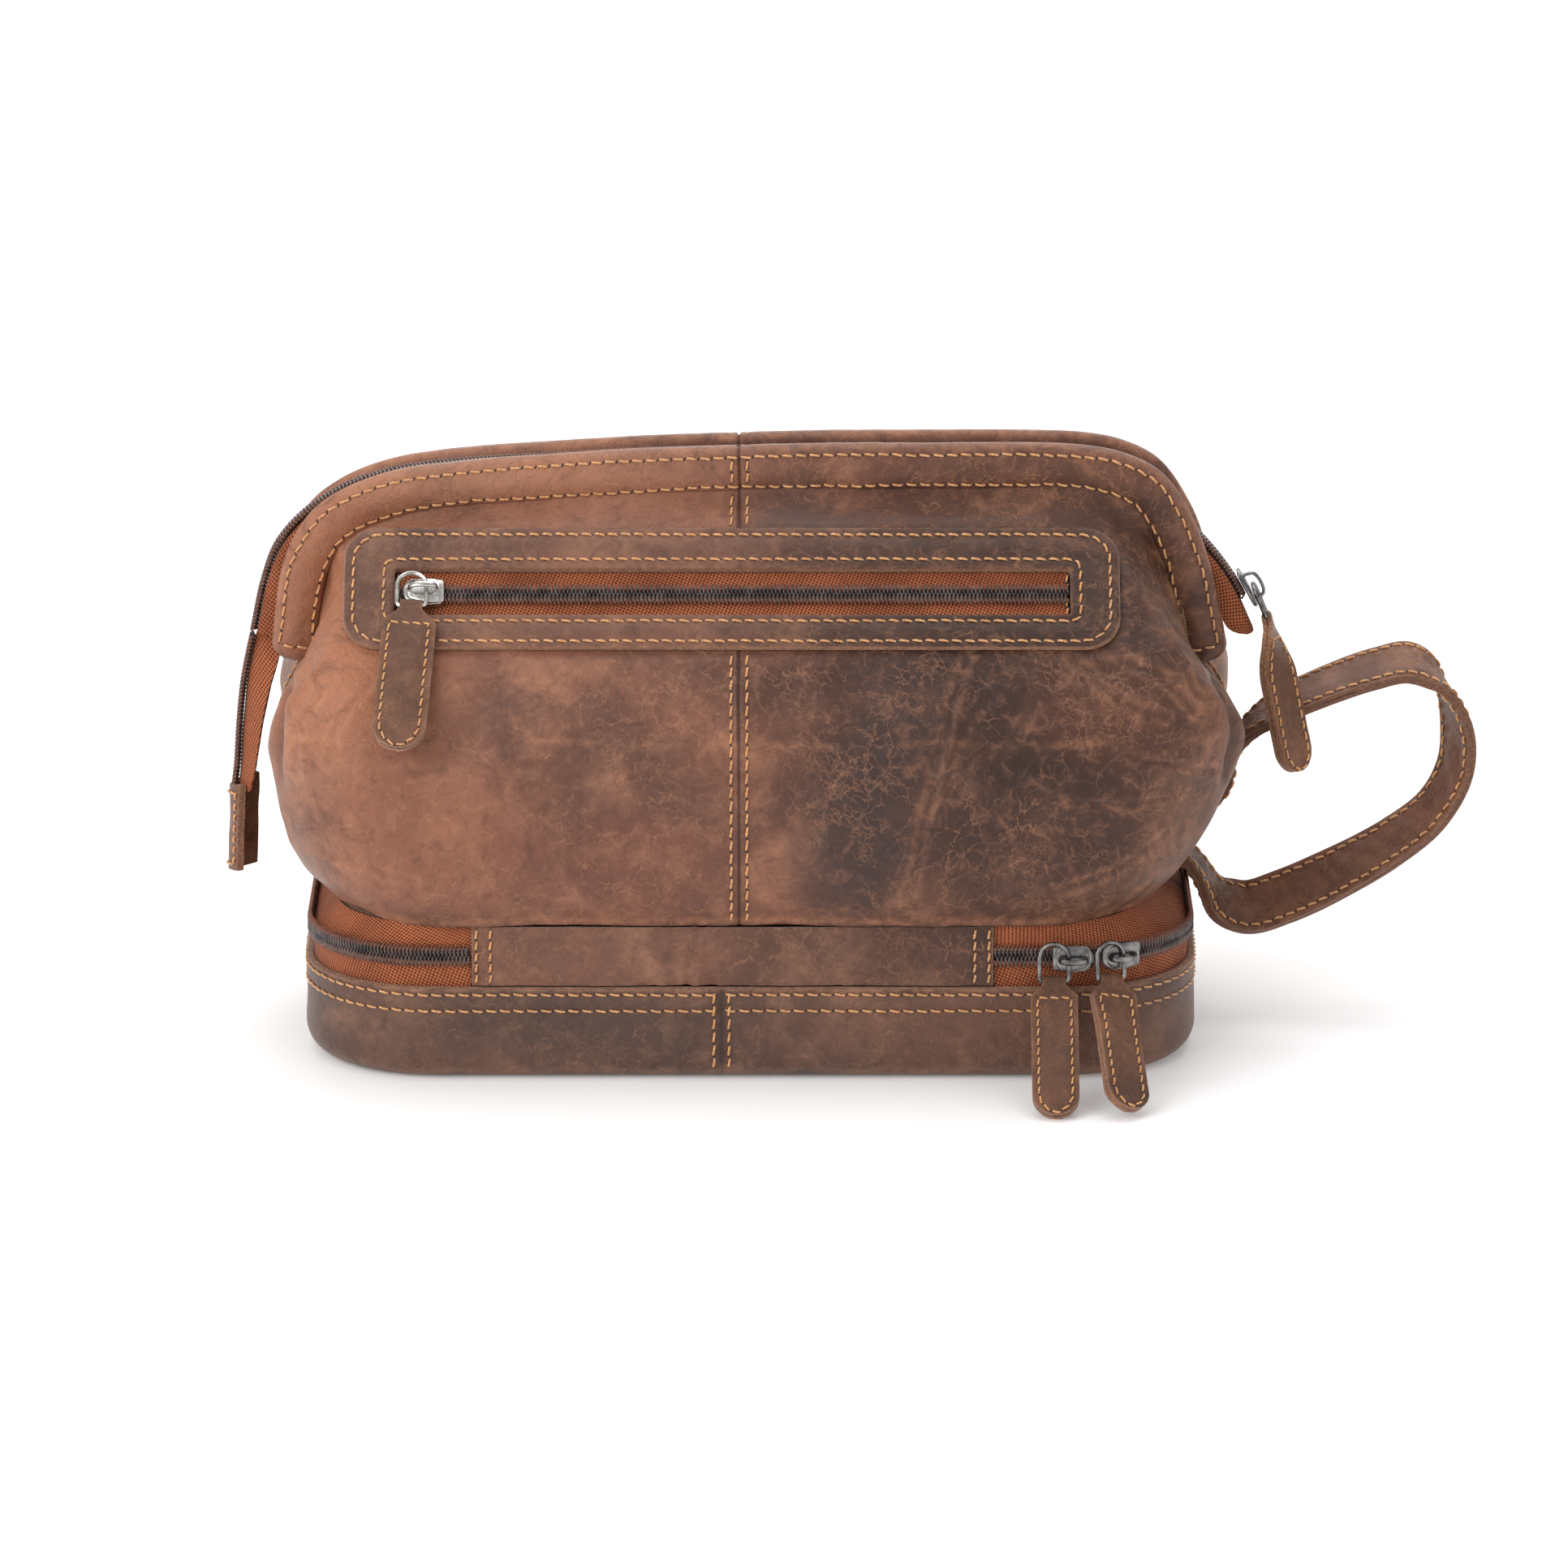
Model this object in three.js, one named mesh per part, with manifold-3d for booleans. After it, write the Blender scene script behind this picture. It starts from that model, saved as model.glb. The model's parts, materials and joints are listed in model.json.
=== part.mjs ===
// Framed leather wash bag with a zipped base compartment.
// Millimetres, +Z up, front towards -Y. The origin is the middle of the tray's flat underside.
import * as THREE from "three";
import { mergeVertices } from "three/addons/utils/BufferGeometryUtils.js";
import Module from "manifold-3d";

const wasm = await Module();
wasm.setup();

// ---------------------------------------------------------------- driving dimensions
const LEATHER = 1.6;
const FABRIC = 0.8;
const GAP = 0.4; // clearance between neighbouring solids

// Base tray: a rounded rectangle in plan.
const TRAY = { left: -142, right: 140, half: 70, corner: 42 };
const TRAY_RIM = 30.5;
const TRAY_WALL = 2.6;
const TRAY_FLOOR = 2.6;
const TRAY_ROUND = 8; // radius of the bottom edge
const BOARD_THICK = 2;
const BAND_LEFT = -88; // the leather hinge band fills the front of the zip ring
const BAND_RIGHT = 75;

// Base zip: the two coils meet at CHAIN_Z, on the outside of the tapes.
const CHAIN_Z = 40.5;
const COIL_HALF = 3.1;
const COIL_THICK = 2.3;
const COIL_INSET = 0.4;
const TAPE_INSET = COIL_INSET + COIL_THICK + 0.3;
const LOWER_TAPE_BOTTOM = 22;

// Upper bag. Heights run from BAG_BOTTOM to the mouth frame.
const BAG_BOTTOM = 51;
const FLOOR_THICK = 2;
const SEAM_X = -4.4; // centre seam of the front and the back
const GUSSET_TOP = 108;
const PANEL_SIDE_Y = 22; // the front and back panels wrap round the corners to here

// Mouth frame: two U-shaped lips that turn about one axis along X.
const PIVOT_Z = 125;
const LIP_FACE = 11.6; // outer face of the lip from the middle plane
const LIP_INNER = 5.4;
const LIP_WALL = 1.4;
const LIP_HEIGHT = 14;
const ROD_R = 1.35;
const ROD_Y = (LIP_FACE + LIP_INNER) / 2;
const PIVOT_X = { left: -147.5, right: 146.5 };
const TAB_THICK = 1.2;
const TAB_R = 5;
const RIVET_R = 1.6;

// Front pocket: a leather frame round a zip, on the sloping upper front.
const POCKET = { left: -128, right: 114.5, top: 167.4, bottom: 136.5, round: 11 };
const SLOT = { left: -112, right: 99, top: 156.9, bottom: 145.1 };

// Where the sliders stand: along X, or in degrees round their corner.
const BASE_SLIDER_X = 100;
const CORNER_SLIDER_TURN = 23.5;
const POCKET_SLIDER_X = -103;
const MOUTH_SLIDER_TURN = 28.5;

const STRAP_WIDTH = 18;
const STRAP_THICK = 3.6;

// ---------------------------------------------------------------- materials
const finish = (color, roughness, metalness = 0) =>
  new THREE.MeshStandardMaterial({ color, roughness, metalness });
const leather = finish(0x6b4431, 0.55);
const darkLeather = finish(0x553a30, 0.6);
const tapeCloth = finish(0x7a3f22, 0.9);
const liningCloth = finish(0x8a6a4c, 0.95);
const coilNylon = finish(0x2b2323, 0.45);
const gunmetal = finish(0x8d8c8a, 0.3, 1);
const steel = finish(0xa6a6a4, 0.35, 1);
const board = finish(0x8f7a5e, 0.9);

// ---------------------------------------------------------------- geometry helpers
const lerp = (a, b, t) => a + (b - a) * t;

// Reads a table of [key, value] pairs with straight stretches between them.
function read(table, key) {
  const last = table.length - 1;
  if (key <= table[0][0]) return table[0][1];
  if (key >= table[last][0]) return table[last][1];
  const i = table.findIndex(([k]) => k > key);
  const [[k0, v0], [k1, v1]] = [table[i - 1], table[i]];
  return lerp(v0, v1, (key - k0) / (k1 - k0));
}

function geometryOf(vertices, triangles) {
  const geometry = new THREE.BufferGeometry();
  geometry.setAttribute("position", new THREE.Float32BufferAttribute(vertices.flat(), 3));
  geometry.setIndex(triangles);
  return geometry;
}

// A closed solid from rings of equal length: walls between rings and a flat fan at each end.
function loft(rings) {
  const n = rings[0].length;
  const vertices = rings.flat();
  const triangles = [];
  for (let i = 0; i + 1 < rings.length; i++)
    for (let j = 0; j < n; j++) {
      const [a, b] = [i * n + j, i * n + ((j + 1) % n)];
      triangles.push(a, b, b + n, a, b + n, a + n);
    }
  const cap = (ring, first, flip) => {
    const middle = ring.reduce((s, p) => s.map((v, k) => v + p[k] / n), [0, 0, 0]);
    const centre = vertices.push(middle) - 1;
    for (let j = 0; j < n; j++) {
      const [a, b] = [first + j, first + ((j + 1) % n)];
      triangles.push(centre, ...(flip ? [b, a] : [a, b]));
    }
  };
  cap(rings[0], 0, true);
  cap(rings[rings.length - 1], (rings.length - 1) * n, false);
  return geometryOf(vertices, triangles);
}

// A sheet of leather or cloth: a grid of points, thickened away from its outer face.
function sheet(grid, thick) {
  const rows = grid.length;
  const cols = grid[0].length;
  const at = (i, j) => new THREE.Vector3(...grid[i][j]);
  const inner = grid.map((row, i) =>
    row.map((p, j) => {
      const along = at(i, Math.min(j + 1, cols - 1)).sub(at(i, Math.max(j - 1, 0)));
      const up = at(Math.min(i + 1, rows - 1), j).sub(at(Math.max(i - 1, 0), j));
      const normal = along.cross(up).normalize();
      return at(i, j).addScaledVector(normal, -thick).toArray();
    }),
  );
  const vertices = [...grid.flat(), ...inner.flat()];
  const size = rows * cols;
  const triangles = [];
  const quad = (a, b, c, d) => triangles.push(a, b, c, a, c, d);
  for (let i = 0; i + 1 < rows; i++)
    for (let j = 0; j + 1 < cols; j++) {
      const a = i * cols + j;
      quad(a, a + 1, a + 1 + cols, a + cols);
      quad(size + a, size + a + cols, size + a + 1 + cols, size + a + 1);
    }
  for (let i = 0; i + 1 < rows; i++) {
    const [a, b] = [i * cols, i * cols + cols - 1];
    quad(a, a + cols, size + a + cols, size + a);
    quad(b + cols, b, size + b, size + b + cols);
  }
  for (let j = 0; j + 1 < cols; j++) {
    const [a, b] = [j, (rows - 1) * cols + j];
    quad(a + 1, a, size + a, size + a + 1);
    quad(b, b + 1, size + b + 1, size + b);
  }
  return geometryOf(vertices, triangles);
}

// A box section carried along a list of points; side and face are its two half-size vectors at each.
function strap(points, side, face) {
  return loft(
    points.map((p, i) => {
      const [s, f] = [side(i), face(i)];
      return [[-1, -1], [1, -1], [1, 1], [-1, 1]].map(([a, b]) =>
        p.map((v, k) => v + a * s[k] + b * f[k]),
      );
    }),
  );
}

function solidOf(geometry) {
  const plain = geometry.clone();
  plain.deleteAttribute("normal");
  plain.deleteAttribute("uv");
  const merged = mergeVertices(plain, 1e-4);
  return new wasm.Manifold(
    new wasm.Mesh({
      numProp: 3,
      vertProperties: merged.attributes.position.array,
      triVerts: new Uint32Array(merged.index.array),
    }),
  );
}

function geometryFrom(solid) {
  const { vertProperties, triVerts } = solid.getMesh();
  const geometry = new THREE.BufferGeometry();
  geometry.setAttribute("position", new THREE.BufferAttribute(vertProperties, 3));
  geometry.setIndex(new THREE.BufferAttribute(triVerts, 1));
  return geometry;
}

const box = (w, d, h, x, y, z) => new THREE.BoxGeometry(w, d, h).translate(x, y, z);

// A cylinder along X, Y or Z.
function rod(axis, radius, length, x, y, z, sides = 20) {
  const geometry = new THREE.CylinderGeometry(radius, radius, length, sides);
  if (axis === "x") geometry.rotateZ(Math.PI / 2);
  if (axis === "z") geometry.rotateX(Math.PI / 2);
  return geometry.translate(x, y, z);
}

// ---------------------------------------------------------------- plan outlines
const CORNER_STEPS = 7;

// Corner arcs of a rounded rectangle, anticlockwise from above, starting at the front left.
function planRing(plan, inset, z) {
  const r = plan.corner - inset;
  const corners = [
    [plan.left + plan.corner, -plan.half + plan.corner, 180],
    [plan.right - plan.corner, -plan.half + plan.corner, 270],
    [plan.right - plan.corner, plan.half - plan.corner, 0],
    [plan.left + plan.corner, plan.half - plan.corner, 90],
  ];
  return corners.flatMap(([x, y, start]) =>
    Array.from({ length: CORNER_STEPS + 1 }, (_, k) => {
      const angle = THREE.MathUtils.degToRad(start + (90 * k) / CORNER_STEPS);
      return [x + r * Math.cos(angle), y + r * Math.sin(angle), z];
    }),
  );
}

// The zip's way round the bag: from the band's right end, round the back, to its left end.
function zipWay(plan, inset, z) {
  const ring = planRing(plan, inset, z);
  const front = -plan.half + inset;
  const turned = [...ring.slice(CORNER_STEPS + 1), ...ring.slice(0, CORNER_STEPS + 1)];
  return [[BAND_RIGHT + GAP, front, z], ...turned, [BAND_LEFT - GAP, front, z]];
}

// A strip that follows the zip's way, between two heights.
const zipStrip = (inset, low, high, thick) =>
  sheet([zipWay(TRAY, inset, low), zipWay(TRAY, inset, high)], thick);

// ---------------------------------------------------------------- base compartment
function trayGeometry() {
  const outer = [0, 0.15, 0.4, 0.7, 1].map((t) => {
    const angle = (t * Math.PI) / 2;
    const inset = TRAY_ROUND * (1 - Math.sin(angle));
    return planRing(TRAY, inset, TRAY_ROUND * (1 - Math.cos(angle)));
  });
  return loft([
    ...outer,
    planRing(TRAY, 0, TRAY_RIM),
    planRing(TRAY, TRAY_WALL, TRAY_RIM),
    planRing(TRAY, TRAY_WALL, TRAY_ROUND),
    planRing(TRAY, TRAY_WALL + 2, TRAY_FLOOR + 1.6),
    planRing(TRAY, TRAY_ROUND + 0.5, TRAY_FLOOR),
  ]);
}

function trayLiningGeometry() {
  const inset = TRAY_WALL + GAP;
  const floor = TRAY_FLOOR + BOARD_THICK + 2 * GAP;
  return loft([
    planRing(TRAY, inset + 6, floor),
    planRing(TRAY, inset + 1.5, floor + 2),
    planRing(TRAY, inset, floor + 6),
    planRing(TRAY, inset, LOWER_TAPE_BOTTOM - GAP),
    planRing(TRAY, inset + FABRIC, LOWER_TAPE_BOTTOM - GAP),
    planRing(TRAY, inset + FABRIC, floor + 6),
    planRing(TRAY, inset + FABRIC + 2, floor + 2.4),
    planRing(TRAY, inset + FABRIC + 6, floor + FABRIC),
  ]);
}

function boardGeometry() {
  const floor = TRAY_FLOOR + GAP;
  return loft([
    planRing(TRAY, TRAY_ROUND + 2.5, floor),
    planRing(TRAY, TRAY_ROUND + 2.5, floor + BOARD_THICK),
  ]);
}

function bandGeometry() {
  const middle = (BAND_LEFT + BAND_RIGHT) / 2;
  const low = TRAY_RIM + GAP;
  const high = BAG_BOTTOM - 1;
  const length = BAND_RIGHT - BAND_LEFT;
  return box(length, LEATHER, high - low, middle, -TRAY.half + 2, (low + high) / 2);
}

// The upper tape leans in from the chain to the edge of the bag's floor.
function upperTapeGeometry() {
  const bottom = zipWay(TRAY, TAPE_INSET, CHAIN_Z + GAP);
  const top = zipWay(FLOOR_PLAN, -0.6 - GAP, BAG_BOTTOM - 0.2);
  return sheet([bottom, top], FABRIC);
}

// ---------------------------------------------------------------- mouth outlines
const arch = (points) =>
  new THREE.CatmullRomCurve3(
    points.map(([x, z]) => new THREE.Vector3(x, 0, z)),
    false,
    "centripetal",
  );
const LIP_EDGE = arch([
  [-152.3, 124], [-149, 149], [-144.5, 161], [-136.7, 170.8], [-116, 181], [-50, 188],
  [-5, 190], [50, 190.8], [104, 190], [118, 187], [128, 181.5], [136, 171],
  [142.6, 156], [149.8, 124],
]);

// The right shoulder of the zip is an arc, so that the slider can follow it.
const SHOULDER = { x: 80, z: 100, r: 83.5 };
const onShoulder = (degrees, r = SHOULDER.r) => {
  const angle = THREE.MathUtils.degToRad(degrees);
  return [SHOULDER.x + r * Math.cos(angle), SHOULDER.z + r * Math.sin(angle)];
};
const CHAIN_LINE = arch([
  [-157.5, 128], [-153.7, 145], [-149, 156.5], [-137, 168.5], [-116, 178], [-50, 184],
  [-5, 185.6], [45, 185.6], ...[78, 70, 62, 54, 46, 38, 30, 20].map((d) => onShoulder(d)),
]);
const LIP_STEPS = 36;
const LIP_RANGE = [0.022, 0.978];

// ---------------------------------------------------------------- upper bag
const BAG = {
  // Height against half depth, left reach, right reach and the plan's corner radius.
  depth: [
    [51, 69], [56, 72.5], [64, 75.2], [76, 76.3], [93, 75.5], [106, 73.2], [115, 70.5],
    [124, 66.8], [132, 61], [171, 23], [174.5, 18.5], [178, 14.5],
  ],
  left: [
    [51, 133], [56, 138], [62, 142.5], [70, 146.5], [80, 149], [100, 151.4], [118, 149.8],
    [125, 147.5], [132, 143.5], [152, 141], [178, 137],
  ],
  right: [
    [51, 124], [56, 129], [62, 134.5], [70, 140.5], [80, 145.5], [90, 149.5], [109, 153.3],
    [118, 152], [125, 147.5], [132, 143], [140, 139], [152, 135], [178, 130],
  ],
  corner: [[105, 34], [134, 18], [178, 14]],
};
const FLOOR_PLAN = { left: -130.5, right: 121.5, half: 66, corner: 32 };
const MOUTH_CORNER = { left: -114, right: 110 };
const PANEL_ROWS = 18;
const FRONT_COLUMNS = 8;
const CORNER_COLUMNS = 6;

// Where the skin passes at one height, from the centre seam round to the side.
function skinRow(sideX, height) {
  const depth = read(BAG.depth, height);
  const far = sideX * read(sideX < 0 ? BAG.left : BAG.right, height);
  const radius = Math.min(read(BAG.corner, height), depth - LIP_FACE - 1);
  const start = SEAM_X + sideX * GAP;
  const row = [];
  for (let j = 0; j < FRONT_COLUMNS; j++)
    row.push([lerp(start, far - sideX * radius, j / FRONT_COLUMNS), depth]);
  for (let j = 0; j <= CORNER_COLUMNS; j++) {
    const angle = ((j / CORNER_COLUMNS) * Math.PI) / 2;
    row.push([
      far - sideX * radius * (1 - Math.sin(angle)),
      depth - radius * (1 - Math.cos(angle)),
    ]);
  }
  const end = read([[110, PANEL_SIDE_Y], [131, LIP_FACE + 2]], height);
  row.push([far, Math.min(end, row[row.length - 1][1] - 0.1)]);
  return row;
}

// The skin ends on the outer face of the lip, a little above the lip's lower edge.
function lipFoot(t) {
  const tangent = LIP_EDGE.getTangentAt(t);
  const edge = LIP_EDGE.getPointAt(t);
  const down = LIP_HEIGHT - 1.5;
  return [edge.x + tangent.z * down, edge.z - tangent.x * down];
}

function lipFootAtX(x) {
  let [low, high] = [0.1, 0.9];
  for (let i = 0; i < 24; i++) {
    const middle = (low + high) / 2;
    if (lipFoot(middle)[0] < x) low = middle;
    else high = middle;
  }
  return low;
}

function lipFootOfColumn(sideX, j) {
  const start = SEAM_X + sideX * GAP;
  const corner = sideX < 0 ? MOUTH_CORNER.left : MOUTH_CORNER.right;
  if (j < FRONT_COLUMNS) return lipFoot(lipFootAtX(lerp(start, corner, j / FRONT_COLUMNS)));
  const share = (j - FRONT_COLUMNS) / (CORNER_COLUMNS + 1);
  return lipFoot(lerp(lipFootAtX(corner), sideX < 0 ? LIP_RANGE[0] : LIP_RANGE[1], share));
}

// One quarter of the bag's skin as a grid. sideX is -1 for left, sideY is -1 for front.
function quarterGrid(sideX, sideY) {
  const columns = FRONT_COLUMNS + CORNER_COLUMNS + 2;
  const feet = Array.from({ length: columns }, (_, j) => lipFootOfColumn(sideX, j));
  return Array.from({ length: PANEL_ROWS + 1 }, (_, i) =>
    feet.map(([footX, footZ], j) => {
      const share = i / PANEL_ROWS;
      const height = lerp(BAG_BOTTOM, footZ, share);
      const [x, depth] = skinRow(sideX, height)[j];
      const from = lerp(0.92, 0.5, Math.max(0, (j - FRONT_COLUMNS + 2) / (CORNER_COLUMNS + 3)));
      const pull = THREE.MathUtils.smoothstep(share, from, 1.0001);
      const edge = LIP_FACE + GAP + LEATHER;
      return [lerp(x, footX, pull), sideY * lerp(depth, edge, pull), height];
    }),
  );
}

function panelGeometry(sideX, sideY) {
  const grid = quarterGrid(sideX, sideY);
  const leftToRight = sideX * sideY > 0 ? grid.map((row) => [...row].reverse()) : grid;
  const skin = sheet(leftToRight, LEATHER);
  return sideY < 0 ? geometryFrom(solidOf(skin).subtract(pocketCut())) : skin;
}

// The side gusset stands inside the wrapped edges of the panels.
function gussetGeometry(sideX) {
  const reach = sideX < 0 ? BAG.left : BAG.right;
  const rows = [];
  for (let i = 0; i <= 6; i++) {
    const height = lerp(BAG_BOTTOM + 1.2, GUSSET_TOP, i / 6);
    const x = sideX * (read(reach, height) - LEATHER - GAP - 7 * (i / 6) ** 3);
    const row = [-1, -0.6, 0, 0.6, 1].map((t) => [
      x - sideX * 4 * t * t,
      sideX * t * 34,
      height,
    ]);
    rows.push(row);
  }
  return sheet(rows, LEATHER);
}

// ---------------------------------------------------------------- mouth frame
// Points on an arch with the direction that points out of the bag at each.
function stations(curve, steps, [from, to] = [0, 1]) {
  return Array.from({ length: steps + 1 }, (_, i) => {
    const t = lerp(from, to, i / steps);
    const tangent = curve.getTangentAt(t);
    const point = curve.getPointAt(t);
    return { point: point.toArray(), out: [-tangent.z, 0, tangent.x] };
  });
}

// Carries a section of [outwards, y] corners along an arch.
function archSolid(curve, steps, section, range) {
  const shape = section.map(([n, y]) => new THREE.Vector2(n, y));
  if (THREE.ShapeUtils.isClockWise(shape)) shape.reverse();
  const rings = stations(curve, steps, range).map(({ point, out }) =>
    shape.map(({ x: n, y }) => [point[0] + out[0] * n, y, point[2] + out[2] * n]),
  );
  const count = shape.length;
  const vertices = rings.flat();
  const triangles = [];
  for (let i = 0; i + 1 < rings.length; i++)
    for (let j = 0; j < count; j++) {
      const [a, b] = [i * count + j, i * count + ((j + 1) % count)];
      triangles.push(a, a + count, b + count, a, b + count, b);
    }
  const last = (rings.length - 1) * count;
  for (const [a, b, c] of THREE.ShapeUtils.triangulateShape(shape, [])) {
    triangles.push(a, b, c);
    triangles.push(last + a, last + c, last + b);
  }
  return geometryOf(vertices, triangles);
}

const mirrored = (sideY, section) => section.map(([n, y]) => [n, sideY * y]);

// The lip: leather folded over the rod, open along its lower edge.
function lipGeometry(sideY) {
  const [outer, inner] = [LIP_FACE - LIP_WALL, LIP_INNER + LIP_WALL];
  const section = [
    [-LIP_HEIGHT, LIP_FACE], [0, LIP_FACE], [0, LIP_INNER], [-LIP_HEIGHT, LIP_INNER],
    [-LIP_HEIGHT, inner], [-LIP_WALL, inner], [-LIP_WALL, outer], [-LIP_HEIGHT, outer],
  ];
  return archSolid(LIP_EDGE, LIP_STEPS, mirrored(sideY, section), LIP_RANGE);
}

// The sprung steel rod, with a flat tab at each end for the rivet.
function rodGeometry(sideY) {
  const section = Array.from({ length: 6 }, (_, k) => {
    const angle = (k * Math.PI) / 3;
    const n = -LIP_HEIGHT / 2 + ROD_R * Math.cos(angle);
    return [n, sideY * ROD_Y + ROD_R * Math.sin(angle)];
  });
  let solid = solidOf(archSolid(LIP_EDGE, LIP_STEPS + 2, section));
  for (const sideX of [-1, 1]) {
    const pivot = sideX < 0 ? PIVOT_X.left : PIVOT_X.right;
    const x = pivot + sideY * (TAB_THICK / 2 + 0.25);
    const reach = ROD_Y + ROD_R;
    const eye = solidOf(rod("x", TAB_R, TAB_THICK, x, 0, PIVOT_Z, 16));
    const arm = solidOf(box(TAB_THICK, reach, 5, x, (sideY * reach) / 2, PIVOT_Z - 2));
    const { point, out } = stations(LIP_EDGE, 1)[sideX < 0 ? 0 : 1];
    const footX = point[0] - out[0] * (LIP_HEIGHT / 2);
    const from = Math.min(x - TAB_THICK / 2, footX - ROD_R);
    const to = Math.max(x + TAB_THICK / 2, footX + ROD_R);
    const foot = box(to - from, 2 * ROD_R, 5, (from + to) / 2, sideY * ROD_Y, PIVOT_Z - 2);
    const hole = solidOf(rod("x", RIVET_R + 0.3, 30, pivot, 0, PIVOT_Z, 16));
    solid = solid.add(eye).add(arm).add(solidOf(foot)).subtract(hole);
  }
  return geometryFrom(solid);
}

function rivetGeometry(sideX) {
  const pivot = sideX < 0 ? PIVOT_X.left : PIVOT_X.right;
  const shank = solidOf(rod("x", RIVET_R, 5, pivot, 0, PIVOT_Z, 16));
  const head = (x) => solidOf(rod("x", 3, 0.8, x, 0, PIVOT_Z, 16));
  return geometryFrom(shank.add(head(pivot - 2.1)).add(head(pivot + 2.1)));
}

// Half of the main zip: a tape that rises from inside the lip, and its coil.
function mouthTapeGeometry(sideY) {
  const section = [[-6, 5], [-6, 4.2], [-1.2, 0.4], [0, 0.4], [0, 1.2], [-4.6, 5]];
  return archSolid(CHAIN_LINE, LIP_STEPS, mirrored(sideY, section));
}

function mouthCoilGeometry(sideY) {
  const section = [[0.3, 3.1], [0.3, 0.2], [COIL_THICK + 0.3, 0.2], [COIL_THICK + 0.3, 3.1]];
  return archSolid(CHAIN_LINE, LIP_STEPS, mirrored(sideY, section), [0, 0.972]);
}

// ---------------------------------------------------------------- zip tail
const TAIL_LINE = arch([[-164.5, 77], [-163.6, 84], [-162.6, 98], [-161, 112], [-158.8, 124]]);

function tailTapeGeometry() {
  const rows = stations(TAIL_LINE, 8).map(({ point, out }, i) => {
    const trail = lerp(4, 9, i / 8);
    return [1, 0.5, 0, -0.5, -1].map((t) => [
      point[0] - out[0] * (trail * t * t + 0.4),
      9 * t,
      point[2] - out[2] * (trail * t * t + 0.4),
    ]);
  });
  return sheet(rows, FABRIC);
}

const tailCoilGeometry = () =>
  archSolid(TAIL_LINE, 8, [[0.1, -2.8], [0.1, 2.8], [2.3, 2.8], [2.3, -2.8]]);

// A leather tab folded over the end of the tape.
const tailTabGeometry = () =>
  strap(
    [[-163.4, 0, 76.3], [-163.9, 0, 66], [-164.4, 0, 50]],
    (i) => [0, [8, 10, 9][i], 0],
    (i) => [[2.4, 3, 2.2][i], 0, 0],
  );

// ---------------------------------------------------------------- front pocket
// The pocket lies on the flat part of the front, which leans back towards the mouth.
const POCKET_MID = { x: (POCKET.left + POCKET.right) / 2, z: (POCKET.top + POCKET.bottom) / 2 };
const POCKET_LEAN = Math.atan2(
  read(BAG.depth, POCKET.bottom) - read(BAG.depth, POCKET.top),
  POCKET.top - POCKET.bottom,
);
const upSlope = (rise) => rise / Math.cos(POCKET_LEAN);
const POCKET_HALF = upSlope(POCKET.top - POCKET.bottom) / 2;
const SLOT_HALF = upSlope(SLOT.top - SLOT.bottom) / 2;
const SLOT_LENGTH = SLOT.right - SLOT.left;
const SLOT_MID = (SLOT.left + SLOT.right) / 2 - POCKET_MID.x;
const SLOT_UP = upSlope((SLOT.top + SLOT.bottom) / 2 - POCKET_MID.z);

// Everything on the pocket is drawn flat, with +Y up its slope and +Z out of the bag.
function onPocket(geometry) {
  geometry.rotateX(Math.PI / 2 - POCKET_LEAN);
  return geometry.translate(POCKET_MID.x, -read(BAG.depth, POCKET_MID.z), POCKET_MID.z);
}

const pocketCut = () =>
  solidOf(onPocket(box(SLOT_LENGTH + 3, 2 * SLOT_HALF + 3, 9, SLOT_MID, SLOT_UP, 0)));

function weltGeometry() {
  const half = (POCKET.right - POCKET.left) / 2;
  const outline = new THREE.Shape();
  const r = POCKET.round;
  outline.moveTo(-half + r, -POCKET_HALF);
  outline.lineTo(half - r, -POCKET_HALF);
  outline.absarc(half - r, -POCKET_HALF + r, r, -Math.PI / 2, 0, false);
  outline.absarc(half - r, POCKET_HALF - r, r, 0, Math.PI / 2, false);
  outline.absarc(-half + r, POCKET_HALF - r, r, Math.PI / 2, Math.PI, false);
  outline.absarc(-half + r, -POCKET_HALF + r, r, Math.PI, 1.5 * Math.PI, false);
  const slot = new THREE.Path();
  const [left, right] = [SLOT.left - POCKET_MID.x, SLOT.right - POCKET_MID.x];
  const [low, high] = [SLOT_UP - SLOT_HALF, SLOT_UP + SLOT_HALF];
  slot.moveTo(left, low);
  slot.lineTo(left, high);
  slot.lineTo(right, high);
  slot.lineTo(right, low);
  outline.holes.push(slot);
  const made = new THREE.ExtrudeGeometry(outline, {
    depth: LEATHER, bevelEnabled: false, curveSegments: 5,
  });
  return onPocket(made.translate(0, 0, GAP));
}

// The tapes lie behind the panel; the coils stand up into its opening.
const POCKET_TAPE_FACE = -LEATHER - GAP;
const pocketTape = (up) => {
  const middle = SLOT_UP + up * (SLOT_HALF / 2 + 0.8);
  return box(SLOT_LENGTH - 1, SLOT_HALF + 1, FABRIC, SLOT_MID, middle, POCKET_TAPE_FACE - FABRIC / 2);
};
const pocketCoil = (up) =>
  box(SLOT_LENGTH - 1, 2.7, COIL_THICK, SLOT_MID, SLOT_UP + up * 1.55, POCKET_TAPE_FACE + 1.55);
const pocketBag = () =>
  box(SLOT_LENGTH - 6, 2 * POCKET_HALF - 16, 1.4, SLOT_MID, -5, POCKET_TAPE_FACE - FABRIC - 1.1);

// ---------------------------------------------------------------- zip sliders, rings and pulls
// A slider stands on its chain: +Z away from the cloth, +X along the chain, +Y across it.
const SLIDER = { half: 6.5, nose: 4.9, tail: 3.9, plate: 1.2, eye: 4.6, flange: 2.2 };
const EYE_MID = 2.9; // height of the wire in the middle of the bridge's eye

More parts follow.
